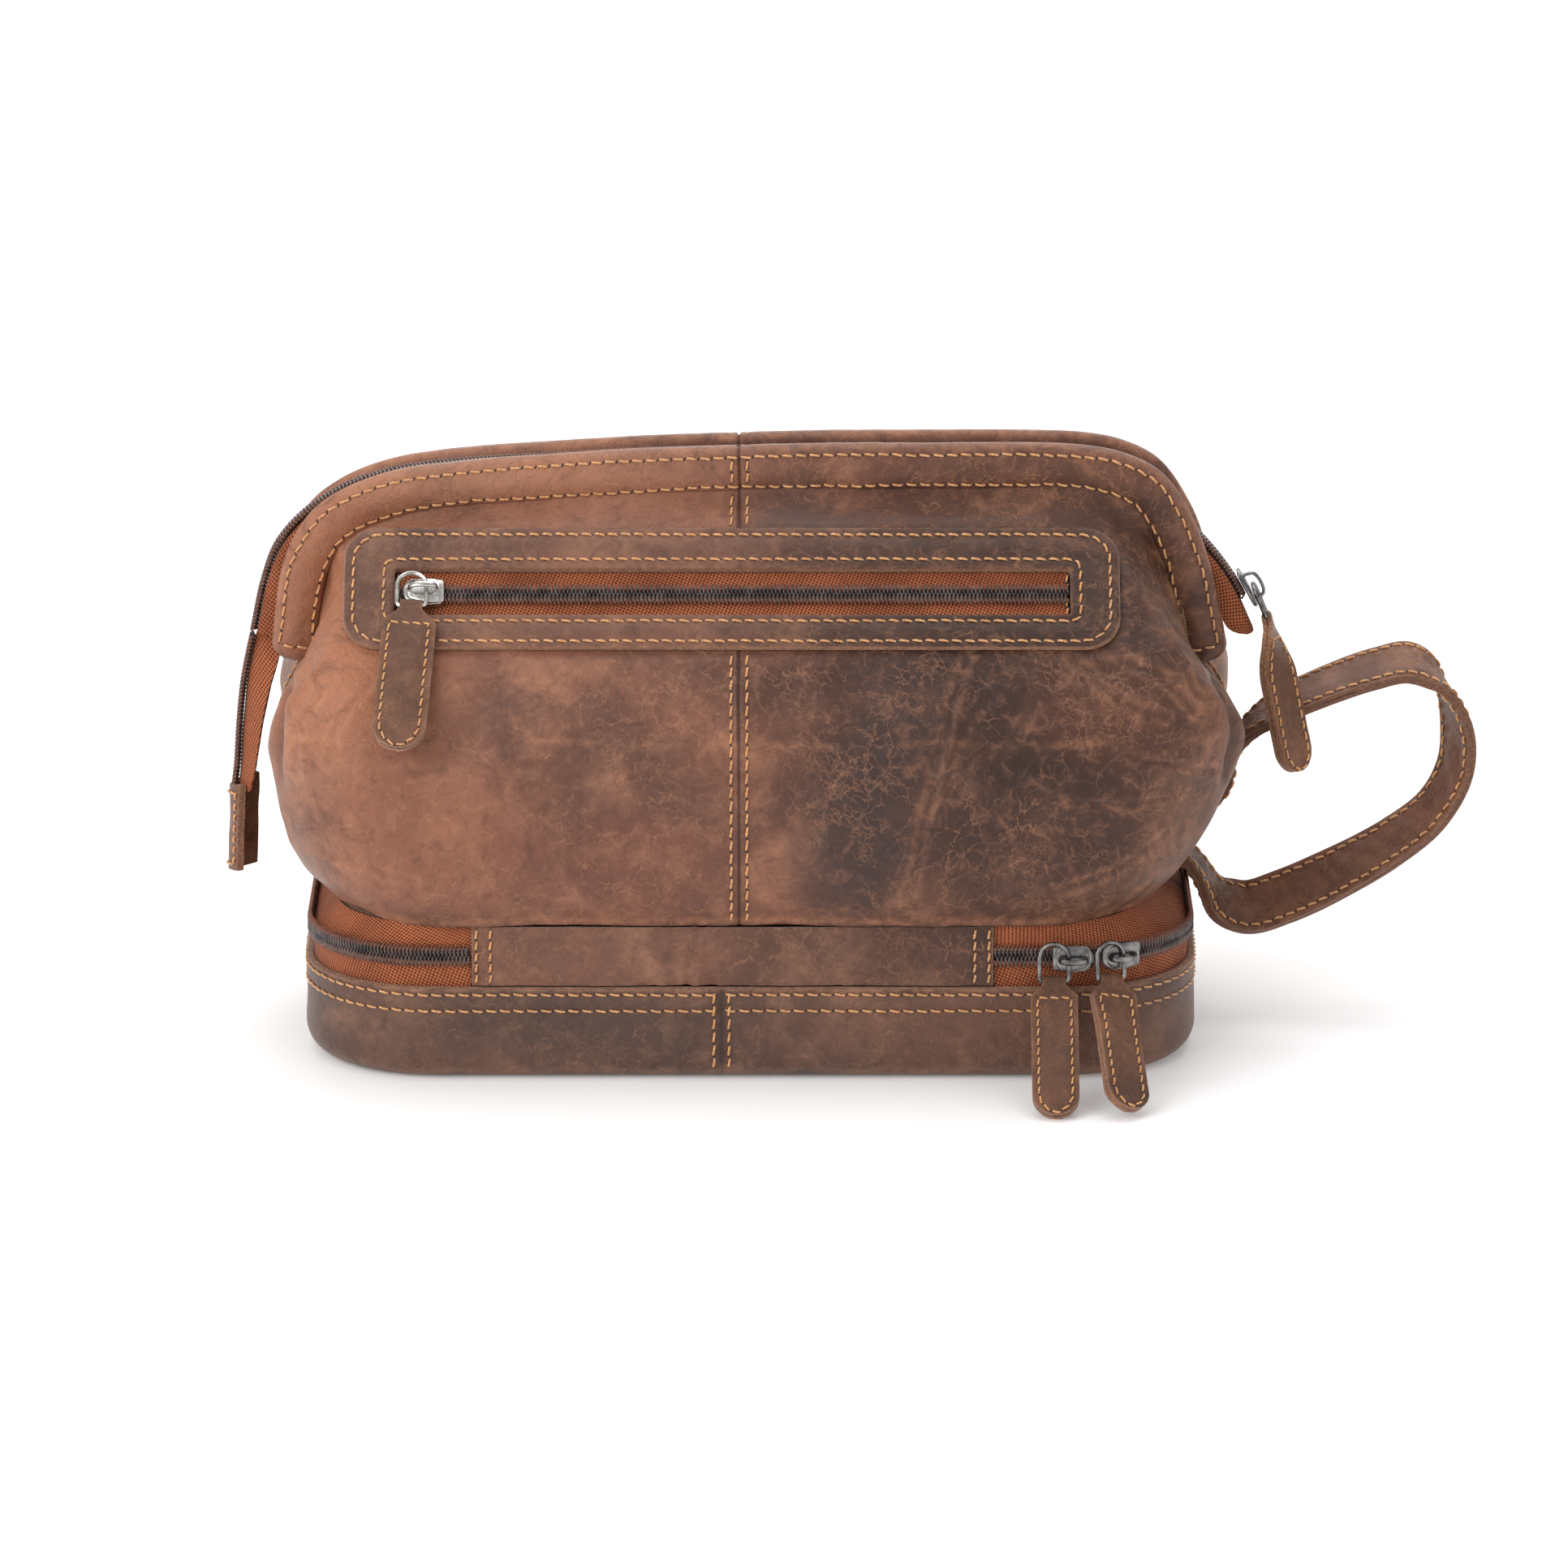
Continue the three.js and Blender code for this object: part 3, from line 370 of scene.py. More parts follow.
def drop_loose(obj):
    """Deletes the points that no face uses."""
    bm = bmesh.new()
    bm.from_mesh(obj.data)
    bmesh.ops.delete(bm, geom=[v for v in bm.verts if not v.link_faces], context="VERTS")
    bm.to_mesh(obj.data)
    bm.free()


def tube_arrays(line, up, section, closed=False):
    """Carries a closed section of (side, up) points along a line; flat fans close the ends."""
    t = tangents(line, closed)
    side = unit(np.cross(t, up))
    up = np.cross(side, t)
    section = np.asarray(section, float)
    pts = line[:, None] + side[:, None] * section[None, :, :1] + up[:, None] * section[None, :, 1:]
    n, m = pts.shape[:2]
    i, j = np.meshgrid(np.arange(n if closed else n - 1), np.arange(m), indexing="ij")
    a, b = (i * m + j).ravel(), (i * m + (j + 1) % m).ravel()
    c, d = ((i + 1) % n * m + (j + 1) % m).ravel(), ((i + 1) % n * m + j).ravel()
    faces = [*np.stack([a, b, c, d], 1)[:, ::-1]]
    if not closed:
        faces += [np.arange(m), np.arange((n - 1) * m, n * m)[::-1]]
    uv = np.stack([np.repeat(lengths(line), m), np.tile(np.arange(m) / m, n)], 1)
    return pts.reshape(-1, 3), faces, uv


def circle(radius, sides):
    angle = np.arange(sides) * 2 * math.pi / sides
    return np.stack([radius * np.cos(angle), radius * np.sin(angle)], 1)


class Lot:
    """Small pieces gathered into one object."""

    def __init__(self):
        self.verts, self.faces, self.uv, self.which, self.count = [], [], [], [], 0

    def add(self, verts, faces, uv=None, which=0):
        self.verts.append(verts)
        self.faces += [[int(i) + self.count for i in f] for f in faces]
        self.uv.append(np.zeros((len(verts), 2)) if uv is None else uv)
        self.which += [which] * len(faces)
        self.count += len(verts)

    def make(self, name, mats, crease=60):
        verts = np.vstack(self.verts)
        return build(name, verts, self.faces, mats, self.which, np.vstack(self.uv), crease=crease)


# ---------------------------------------------------------------- materials
def rgb(r, g, b):
    """Screen colour to the linear colour that a shader takes."""
    to = lambda c: c / 12.92 if c <= 0.04045 else ((c + 0.055) / 1.055) ** 2.4
    return (to(r / 255), to(g / 255), to(b / 255), 1)


class Graph:
    """Short names for adding nodes to one material, which is read in the piece's own place."""

    def __init__(self, name):
        self.mat = bpy.data.materials.new(name)
        self.mat.use_nodes = True
        self.tree = self.mat.node_tree
        self.tree.nodes.clear()
        out = self.tree.nodes.new("ShaderNodeOutputMaterial")
        self.shader = self.tree.nodes.new("ShaderNodeBsdfPrincipled")
        self.tree.links.new(self.shader.outputs[0], out.inputs[0])
        coords = self.tree.nodes.new("ShaderNodeTexCoord")
        self.place, self.uv = coords.outputs["Object"], coords.outputs["UV"]

    def node(self, kind, inputs=(), out=0, **props):
        made = self.tree.nodes.new("ShaderNode" + kind)
        for key, value in props.items():
            setattr(made, key, value)
        for key, value in dict(inputs).items():
            if isinstance(value, bpy.types.NodeSocket):
                self.tree.links.new(value, made.inputs[key])
            else:
                made.inputs[key].default_value = value
        return made.outputs[out]

    def math(self, op, a, b=0.0, clamp=False):
        return self.node("Math", {0: a, 1: b}, operation=op, use_clamp=clamp)

    def halfway(self, a, b):
        return self.math("ADD", self.math("MULTIPLY", a, 0.5), self.math("MULTIPLY", b, 0.5))

    def noise(self, scale, detail=4.0, rough=0.55, warp=0.0, at=None, stretch=None):
        at = at or self.place
        if stretch:
            at = self.node("VectorMath", {0: at, 1: stretch}, operation="MULTIPLY")
        what = {"Vector": at, "Scale": scale, "Detail": detail, "Roughness": rough, "Distortion": warp}
        return self.node("TexNoise", what)

    def ramp(self, value, low, high, to_low=0.0, to_high=1.0):
        what = {0: value, 1: low, 2: high, 3: to_low, 4: to_high}
        return self.node("MapRange", what, interpolation_type="SMOOTHSTEP")

    def mix(self, share, a, b, blend="MIX"):
        made = self.tree.nodes.new("ShaderNodeMix")
        made.data_type, made.blend_type = "RGBA", blend
        for i, value in ((0, share), (6, a), (7, b)):
            if isinstance(value, bpy.types.NodeSocket):
                self.tree.links.new(value, made.inputs[i])
            else:
                made.inputs[i].default_value = value
        return made.outputs[2]

    def bump(self, height, depth, strength=1.0, over=None):
        what = {"Height": height, "Distance": depth, "Strength": strength}
        if over is not None:
            what["Normal"] = over
        return self.node("Bump", what)

    def set(self, **inputs):
        names = {
            "color": "Base Color", "rough": "Roughness", "metal": "Metallic", "normal": "Normal",
            "sheen": "Sheen Weight", "coat": "Coat Weight", "coat_rough": "Coat Roughness",
            "specular": "Specular IOR Level", "anisotropic": "Anisotropic",
        }
        for key, value in inputs.items():
            socket = self.shader.inputs[names[key]]
            if isinstance(value, bpy.types.NodeSocket):
                self.tree.links.new(value, socket)
            else:
                socket.default_value = value
        return self.mat


CRACKLE = ((75.0, 0.5, 0.016, 0.52), (170.0, -0.6, 0.042, 0.44), (330.0, 0.9, 0.07, 0.48))


def leather(name, dark, mid, light, tone_and_shade_patches=(), seed=0.0):
    """Waxed pull-up leather: clouded colour, pale crackle, fine grain and worn edges, with painted shade from some
    tone patches and from the per-point attribute below zero.
    """
    g = Graph(name)
    g.place = g.node("VectorMath", {0: g.place, 1: (seed, seed * 0.7, seed * 1.3)}, operation="ADD")
    cloud = g.noise(13, 3, 0.5, 0.6)
    blot = g.noise(42, 6, 0.65, 0.4)
    speck = g.noise(420, 4, 0.7)
    flecks = g.noise(150, 6, 0.72, 0.8)
    colour = g.mix(g.ramp(cloud, 0.3, 0.72), dark, mid)
    colour = g.mix(g.math("MULTIPLY", g.ramp(blot, 0.44, 0.86), 0.7), colour, light)
    plain = g.node("VectorMath", {0: g.place, 1: (seed, seed * 0.7, seed * 1.3)}, operation="SUBTRACT")
    # tone patches, some of them painted shade or painted light
    for centre, size, tone, share in tone_and_shade_patches:
        grow = tuple(1 / (s * MM) for s in size)
        off = g.node("VectorMath", {0: plain, 1: tuple(c * MM for c in centre)}, operation="SUBTRACT")
        off = g.node("VectorMath", {0: off, 1: grow}, operation="MULTIPLY")
        far = g.node("VectorMath", {0: off}, 1, operation="LENGTH")
        far = g.math("ADD", far, g.math("MULTIPLY", g.math("SUBTRACT", blot, 0.5), 0.75))
        colour = g.mix(g.ramp(far, 1.2, 0.3, 0.0, share), colour, tone)
    pale = g.mix(0.4, colour, light)
    deep = g.mix(0.55, colour, tuple(0.5 * c for c in dark[:3]) + (1,))
    colour = g.mix(g.ramp(flecks, 0.5, 0.7, 0.0, 0.6), colour, pale)
    colour = g.mix(g.ramp(flecks, 0.49, 0.3, 0.0, 0.75), colour, deep)
    colour = g.mix(g.ramp(speck, 0.54, 0.72, 0.0, 0.55), colour, deep)
    # crackle: thin pale lines where the wax has broken, running with the hide, at three sizes
    crack = None
    for scale, turn, thin, where in CRACKLE:
        what = {"Vector": g.place, "Scale": scale * 0.8, "Detail": 5.0, "Roughness": 0.6}
        warp = g.node("TexNoise", what, 1)
        warp = g.node("VectorMath", {0: warp, 1: (0.5, 0.5, 0.5)}, operation="SUBTRACT")
        warp = g.node("VectorMath", {0: warp, "Scale": 1.7 / scale}, operation="SCALE")
        at = g.node("VectorMath", {0: g.place, 1: warp}, operation="ADD")
        at = g.node("VectorRotate", {"Vector": at, "Angle": turn}, rotation_type="Y_AXIS")
        at = g.node("VectorMath", {0: at, 1: (1.0, 1.0, 0.42)}, operation="MULTIPLY")
        edge = g.node("TexVoronoi", {"Vector": at, "Scale": scale}, feature="DISTANCE_TO_EDGE")
        mask = g.ramp(g.noise(scale * 0.22, 3, 0.6, at=at), where, where + 0.14)
        lines = g.math("MULTIPLY", g.ramp(edge, thin, 0.0), mask)
        crack = lines if crack is None else g.math("MAXIMUM", crack, lines)
    colour = g.mix(g.math("MULTIPLY", crack, 0.6), colour, g.mix(0.55, colour, light))
    # the per-point attribute: above zero lightens worn edges and creases; below zero darkens, as dark seam lines and
    # as painted shade in the turned hem, the fold valleys and the gusset pleats
    wear_and_shade = g.node("Attribute", {}, 2, attribute_name="wear_and_shade")
    worn = g.math("MULTIPLY", g.math("MAXIMUM", wear_and_shade, 0.0), g.ramp(flecks, 0.3, 0.65))
    colour = g.mix(g.math("MULTIPLY", worn, 0.8, True), colour, light)
    # below zero: dark seam lines and painted shade
    seam_dark_and_painted_shade = g.math("MULTIPLY", g.math("MINIMUM", wear_and_shade, 0.0), -1.0, True)
    colour = g.mix(seam_dark_and_painted_shade, colour, tuple(0.35 * c for c in dark[:3]) + (1,))
    pores = g.node("TexVoronoi", {"Vector": g.place, "Scale": 1150.0}, feature="F1")
    height = g.math("ADD", g.math("MULTIPLY", pores, 0.8), speck)
    skin = g.bump(height, 0.00014, 0.5)
    skin = g.bump(flecks, 0.0008, 0.4, skin)
    skin = g.bump(g.math("SUBTRACT", 1.0, crack), 0.00035, 0.6, skin)
    skin = g.bump(g.noise(38, 3, 0.5, 1.2, stretch=(0.45, 1, 1)), 0.0024, 0.35, skin)
    rough = g.ramp(g.halfway(cloud, flecks), 0.3, 0.7, 0.34, 0.56)
    return g.set(
        color=colour, rough=rough, normal=skin, specular=0.26, sheen=0.02, coat=0.06, coat_rough=0.35
    )


def raw_edge(name, tone, deep):
    g = Graph(name)
    fibres = g.noise(900, 5, 0.7, stretch=(1, 1, 2.5))
    colour = g.mix(g.ramp(fibres, 0.35, 0.7), deep, tone)
    colour = g.mix(g.ramp(g.noise(90, 3), 0.5, 0.75, 0.0, 0.6), colour, deep)
    return g.set(color=colour, rough=0.85, normal=g.bump(fibres, 0.0003, 0.6), sheen=0.2)


def thread_material():
    g = Graph("waxed_thread")
    ply = g.noise(1500, 3, 0.6)
    colour = g.mix(g.ramp(ply, 0.3, 0.7), rgb(178, 120, 72), rgb(230, 174, 114))
    colour = g.mix(g.ramp(g.noise(70, 2), 0.5, 0.7, 0.0, 0.35), colour, rgb(160, 100, 60))
    return g.set(color=colour, rough=0.52, normal=g.bump(ply, 0.00015, 0.5), sheen=0.25)


def woven(name, dark, light, yarn=0.62):
    """Woven cloth drawn on the piece's own length and width, in millimetres."""
    g = Graph(name)
    x, y = (g.node("SeparateXYZ", {0: g.uv}, k) for k in (0, 1))
    turn = math.pi / yarn
    a = g.math("SINE", g.math("MULTIPLY", g.math("ADD", x, g.math("MULTIPLY", y, 0.5)), turn))
    b = g.math("SINE", g.math("MULTIPLY", g.math("SUBTRACT", y, g.math("MULTIPLY", x, 0.35)), turn))
    weave = g.math("MULTIPLY", a, b)
    lift = g.math("ADD", g.math("MULTIPLY", weave, 0.5), 0.5)
    fuzz = g.noise(1700, 3, 0.7)
    tone = g.math("ADD", g.math("MULTIPLY", lift, 0.7), g.math("MULTIPLY", fuzz, 0.5))
    colour = g.mix(g.ramp(tone, 0.2, 0.95), dark, light)
    colour = g.mix(g.ramp(g.noise(55, 3), 0.4, 0.7, 0.0, 0.35), colour, dark)
    normal = g.bump(lift, 0.0003, 0.75, g.bump(fuzz, 0.0001, 0.5))
    return g.set(color=colour, rough=0.88, normal=normal, sheen=0.08, specular=0.15)


def nylon(name, dark, light):
    g = Graph(name)
    tone = g.noise(260, 3, 0.6)
    colour = g.mix(g.ramp(tone, 0.35, 0.7), dark, light)
    rough = g.ramp(tone, 0.3, 0.7, 0.24, 0.4)
    return g.set(color=colour, rough=rough, normal=g.bump(tone, 0.0001, 0.2), coat=0.2, coat_rough=0.2)


def metal(name, dark, light, rough=0.2):
    """Plated hardware: cloudy polish with fine scratches."""
    g = Graph(name)
    cloud = g.noise(300, 4, 0.6)
    lines = g.noise(500, 4, 0.7, stretch=(1, 1, 14))
    colour = g.mix(g.ramp(cloud, 0.3, 0.7), dark, light)
    dull = g.ramp(g.halfway(cloud, lines), 0.3, 0.7, rough * 0.7, rough * 1.7)
    return g.set(color=colour, metal=1.0, rough=dull, normal=g.bump(lines, 0.00008, 0.25))


def fibre_board():
    g = Graph("fibre_board")
    chips = g.noise(420, 6, 0.75)
    colour = g.mix(g.ramp(chips, 0.3, 0.7), rgb(112, 90, 66), rgb(168, 144, 112))
    return g.set(color=colour, rough=0.9, normal=g.bump(chips, 0.0003, 0.4))


# darker and lighter regions of the hide: centre, reach, colour and strength; the first is painted shade, darkening the
# right half away from the key light, and the second, lighter on the upper left, is partly painted light
TONE_AND_SHADE_PATCHES = [
    ((86, -40, 106), (106, 90, 120), rgb(48, 31, 26), 0.9),
    ((-128, -60, 150), (44, 90, 60), rgb(168, 108, 78), 0.85),
    ((-70, -30, 180), (76, 60, 12), rgb(176, 122, 94), 0.6),
    ((-100, -75, 86), (40, 60, 30), rgb(140, 88, 64), 0.5),
    ((30, -75, 78), (24, 60, 34), rgb(58, 44, 42), 0.85),
    ((44, -75, 116), (18, 60, 26), rgb(60, 45, 42), 0.7),
    ((14, -40, 166), (24, 60, 20), rgb(72, 54, 48), 0.75),
    ((-48, -75, 112), (26, 60, 16), rgb(88, 60, 50), 0.5),
    ((108, -75, 120), (26, 60, 18), rgb(104, 64, 48), 0.45),
    ((-40, -75, 74), (40, 60, 22), rgb(116, 70, 54), 0.5),
    ((-60, -75, 20), (50, 60, 16), rgb(74, 56, 50), 0.8),
    ((60, -75, 16), (60, 60, 16), rgb(112, 74, 58), 0.5),
    ((-80, 75, 110), (50, 60, 40), rgb(136, 88, 64), 0.6),
]
TONES = (rgb(92, 61, 50), rgb(132, 85, 66), rgb(184, 129, 98))
body_leather = leather("body_leather", *TONES, tone_and_shade_patches=TONE_AND_SHADE_PATCHES)
# the trim takes the first patch as well: painted shade on the right half
trim_leather = leather(
    "trim_leather", rgb(86, 59, 49), rgb(122, 82, 65), rgb(172, 124, 96), tone_and_shade_patches=TONE_AND_SHADE_PATCHES[:1], seed=0.31
)
pull_leather = leather("pull_leather", rgb(82, 56, 44), rgb(112, 74, 56), rgb(158, 110, 80), seed=0.73)
side_leather = leather("side_leather", rgb(60, 42, 36), rgb(90, 60, 46), rgb(136, 94, 70), seed=0.52)
edge_tan = raw_edge("raw_edge", rgb(170, 122, 90), rgb(108, 72, 52))
edge_dark = raw_edge("raw_edge_dark", rgb(140, 94, 66), rgb(84, 54, 40))
tape_cloth = woven("zip_tape", rgb(64, 28, 17), rgb(192, 112, 74), 0.8)
lining_cloth = woven("lining_cloth", rgb(96, 74, 54), rgb(158, 130, 98), 0.8)
coil_nylon = nylon("coil_nylon", rgb(44, 34, 32), rgb(92, 78, 74))
coil_thread = raw_edge("coil_thread", rgb(158, 94, 66), rgb(92, 50, 34))
thread = thread_material()
# dark colour for the stitch holes: painted shade
hole_shade = raw_edge("stitch_hole_painted_shade", rgb(74, 44, 30), rgb(50, 30, 22))
nickel = metal("bright_nickel", rgb(176, 172, 166), rgb(226, 224, 220), 0.16)
gunmetal = metal("gunmetal", rgb(92, 90, 90), rgb(150, 148, 146), 0.22)
spring_steel = metal("spring_steel", rgb(120, 118, 114), rgb(178, 176, 172), 0.3)
board = fibre_board()

# ---------------------------------------------------------------- sewing
threads = defaultdict(Lot)
STITCH_STEPS, PLIES, HOLE_RING = 9, 10, 8  # sections of a stitch, and corners round it and round its holes
STITCH_SHARE, STITCH_SLANT = 0.87, 0.55  # its length in pitches, and how far it leans across the row


def sew(rides, line, up, pitch=STITCH, radius=0.37, inset=0.0, lift=0.25):
    """A row of stitches along a line on a surface. rides: the body or bodies that carry it."""
    line, up = np.asarray(line, float), unit(up)
    total = lengths(line)[-1] - 2 * inset
    count = max(1, int(round(total / pitch)))
    step = total / count
    t = np.linspace(0, 1, STITCH_STEPS)
    at = (inset + (np.arange(count)[:, None] + 0.5 + (t[None] - 0.5) * STITCH_SHARE) * step).ravel()
    mid, normal = along(line, at, up)
    normal = unit(normal)
    run = unit(along(line, at + 0.4)[0] - along(line, np.clip(at - 0.4, 0, None))[0])
    side = unit(np.cross(run, normal))
    tiled = lambda values: np.tile(values, count)[:, None]
    arc = tiled(lift - (lift + radius * 1.25) * np.abs(2 * t - 1) ** 4)
    centre = mid + normal * (arc + radius * 0.35) + side * tiled((t - 0.5) * STITCH_SLANT)
    angle = np.arange(PLIES) * 2 * math.pi / PLIES
    twist = tiled(t * step * STITCH_SHARE * 2.3)
    ends = tiled(0.55 + 0.45 * (1 - np.abs(2 * t - 1) ** 5))
    wide = radius * ends * (1 + 0.16 * np.cos(2 * (angle[None] + twist)))
    ring = side[:, None] * (wide * np.cos(angle))[..., None]
    ring = ring + normal[:, None] * (wide * np.sin(angle))[..., None]
    size, cap = STITCH_STEPS * PLIES, np.arange(PLIES)
    faces = []
    for first in range(0, count * size, size):
        faces += [*grid_quads(STITCH_STEPS, PLIES, True, first)]
        faces += [cap[::-1] + first, cap + first + size - PLIES]
    lot = threads[rides]
    lot.add((centre[:, None] + ring).reshape(-1, 3), faces)
    # a pit at each end of each stitch, coloured dark as painted shade in the hole
    ends_of = lambda field: field.reshape(count, STITCH_STEPS, 3)[:, [0, -1]].reshape(-1, 3)
    tips, base, up, side, run = (ends_of(field) for field in (centre, mid, normal, side, run))
    spot = base + side * np.sum((tips - base) * side, 1)[:, None]
    angle = np.arange(HOLE_RING) * 2 * math.pi / HOLE_RING
    rim = spot[:, None] + run[:, None] * (1.3 * radius * np.cos(angle))[None, :, None]
    rim = rim + side[:, None] * (1.05 * radius * np.sin(angle))[None, :, None] + up[:, None] * 0.03
    pits = np.concatenate([rim, (spot + up * 0.07)[:, None], (spot - up * 0.5)[:, None]], 1)
    a = np.arange(HOLE_RING)
    b = (a + 1) % HOLE_RING
    fans = np.stack([b, a, 0 * a + HOLE_RING, a, b, 0 * a + HOLE_RING + 1], 1).reshape(-1, 3)
    first = (HOLE_RING + 2) * np.arange(len(spot))[:, None, None]
    lot.add(pits.reshape(-1, 3), [*(fans[None] + first).reshape(-1, 3)], which=1)


def sample(field, rows, cols):
    """Reads a grid at fractional row and column numbers."""
    rows = np.clip(np.asarray(rows, float), 0, field.shape[0] - 1.001)
    cols = np.clip(np.asarray(cols, float), 0, field.shape[1] - 1.001)
    i, j = rows.astype(int), cols.astype(int)
    u, v = (rows - i)[:, None], (cols - j)[:, None]
    low = field[i, j] * (1 - v) + field[i, j + 1] * v
    high = field[i + 1, j] * (1 - v) + field[i + 1, j + 1] * v
    return low * (1 - u) + high * u


def sew_on(rides, grid, normals, rows, cols, **style):
    """A row of stitches over a grid; rows and cols are numbers along it, and one of them may be single."""
    rows, cols = np.broadcast_arrays(np.asarray(rows, float), np.asarray(cols, float))
    sew(rides, sample(grid, rows, cols), sample(normals, rows, cols), **style)


def place(obj, rides, *replaced, slot=None):
    """Rides a piece on a body, says what it stands for, and names its finish."""
    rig.ride(obj, rides)
    if replaced:
        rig.replaces(obj, *replaced)
    if slot:
        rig.slot(obj, slot)
    return obj


def tape(cad_node, grid, body, thick=TAPE_THICK):
    """A woven zip tape in place of its CAD node."""
    place(slab(f"{cad_node}_cloth", grid, thick, (tape_cloth,) * 3, bevel=0), body, cad_node, slot="zip_tape")


# ---------------------------------------------------------------- mouth outlines
class Arch:
    """An outline in the middle plane, with the direction out of the bag at each point."""

    def __init__(self, points):
        self.line = spline([(x, 0, z) for x, z in points])
        self.total = lengths(self.line)[-1]

    def at(self, t):
        s = np.atleast_1d(t) * self.total
        p, a, b = (along(self.line, np.clip(s + d, 0, self.total))[0] for d in (0, -0.5, 0.5))
        run = unit(b - a)
        return p, np.stack([-run[:, 2], 0 * run[:, 0], run[:, 0]], 1)


LIP = Arch([
    (-152.3, 124), (-149, 149), (-144.5, 161), (-136.7, 170.8), (-116, 181), (-50, 188),
    (-5, 190), (50, 190.8), (104, 190), (118, 187), (128, 181.5), (136, 171),
    (142.6, 156), (149.8, 124),
])
SHOULDER = {"x": 80, "z": 100, "radius": 83.5}  # the round part that the mouth slider runs on


def on_shoulder(degrees, out=0.0):
    a, r = math.radians(degrees), SHOULDER["radius"] + out
    return SHOULDER["x"] + r * math.cos(a), SHOULDER["z"] + r * math.sin(a)


CHAIN = Arch([
    (-157.5, 128), (-153.7, 145), (-149, 156.5), (-137, 168.5), (-116, 178), (-50, 184),
    (-5, 185.6), (45, 185.6), *map(on_shoulder, (78, 70, 62, 54, 46, 38, 30, 20)),
])
TAIL = Arch([(-164.5, 77), (-163.6, 84), (-162.6, 98), (-161, 112), (-158.9, 122.5), (-157.7, 127.6)])


def lip_t_at_x(x, down=12.5):
    t = np.linspace(0.1, 0.9, 1601)
    p, out = LIP.at(t)
    return np.interp(x, (p - out * down)[:, 0], t)


# ---------------------------------------------------------------- front and back panels
depth_at, left_at, right_at, corner_at = (eased(t, 2.2) for t in (DEPTH, LEFT, RIGHT, CORNER))
side_y_at = eased([(110, 22), (131, 13.6)], 3)
FRONT_COLS, CORNER_COLS, SIDE_COLS = 84, 40, 10
BODY_ROWS = 112


def pocket_distance(x, z):
    """How far outside the pocket's outline a point is; negative inside."""
    cx, cz = (POCKET["left"] + POCKET["right"]) / 2, (POCKET["top"] + POCKET["bottom"]) / 2
    dx = np.abs(x - cx) - (POCKET["right"] - POCKET["left"]) / 2
    dz = (np.abs(z - cz) - (POCKET["top"] - POCKET["bottom"]) / 2) * 1.4
    return np.maximum(dx, dz)


def quarter(side_x, side_y):
    """One quarter of the skin: rows up the bag, columns from the centre seam round to the side."""
    near = np.concatenate([[0, 0.008, 0.02], np.linspace(0.04, 1, FRONT_COLS - 3)]) * 8
    c = np.concatenate([near, 8 + 6 * np.arange(1, CORNER_COLS + 1) / CORNER_COLS,
                        14 + np.arange(1, SIDE_COLS + 1) / SIDE_COLS])
    start = SEAM_X + side_x * 0.02
    corner = -114 if side_x < 0 else 110
    t_front = lip_t_at_x(lerp(start, corner, np.clip(c / 8, 0, 1)))
    t_side = lerp(lip_t_at_x(corner), LIP_RANGE[0 if side_x < 0 else 1], np.clip((c - 8) / 7, 0, 1))
    t = np.where(c < 8, t_front, t_side)
    p, out = LIP.at(t)
    foot = p - out * 12.2
    share = np.linspace(0, 1, BODY_ROWS)[:, None]
    h = BAG_BOTTOM + 0.4 + (foot[None, :, 2] - BAG_BOTTOM - 0.4) * share
    depth = depth_at(h)
    far = side_x * (left_at(h) if side_x < 0 else right_at(h))
    radius = np.minimum(corner_at(h), depth - LIP_FACE - 1)
    cc = c[None] + 0 * h
    angle = np.clip((cc - 8) / 6, 0, 1) * math.pi / 2
    flat_end = far - side_x * radius
    x = np.where(cc <= 8, lerp(start, flat_end, cc / 8), far - side_x * radius * (1 - np.sin(angle)))
    y = np.where(cc <= 8, depth, depth - radius * (1 - np.cos(angle)))
    end = np.minimum(side_y_at(np.clip(h, 98, 143)), depth - radius - 0.1)
    y = np.where(cc > 14, lerp(depth - radius, end, np.clip(cc - 14, 0, 1)), y)
    begin = lerp(0.92, 0.5, np.clip((cc - 6) / 9, 0, 1))
    pull = smoothstep(share, begin, 1.0001)
    x = lerp(x, foot[None, :, 0], pull)
    y = lerp(y, LIP_FACE + 0.3 + 0 * y, pull)
    grid = np.stack([x, side_y * y, h], 2)
    if side_x * side_y > 0:
        grid = grid[:, ::-1]
        cc = cc[:, ::-1]
    return grid, cc


def crease_distance(x, z, points):
    """How far each place is from a line through (x, z) points."""
    line = spline([(a, 0, b) for a, b in points], 12)[:, [0, 2]]
    near = np.full(x.shape, 1e9)
    for (ax, az), (bx, bz) in zip(line[:-1], line[1:]):
        dx, dz = bx - ax, bz - az
        k = np.clip(((x - ax) * dx + (z - az) * dz) / (dx * dx + dz * dz + 1e-9), 0, 1)
        near = np.minimum(near, np.hypot(x - ax - dx * k, z - az - dz * k))
    return near


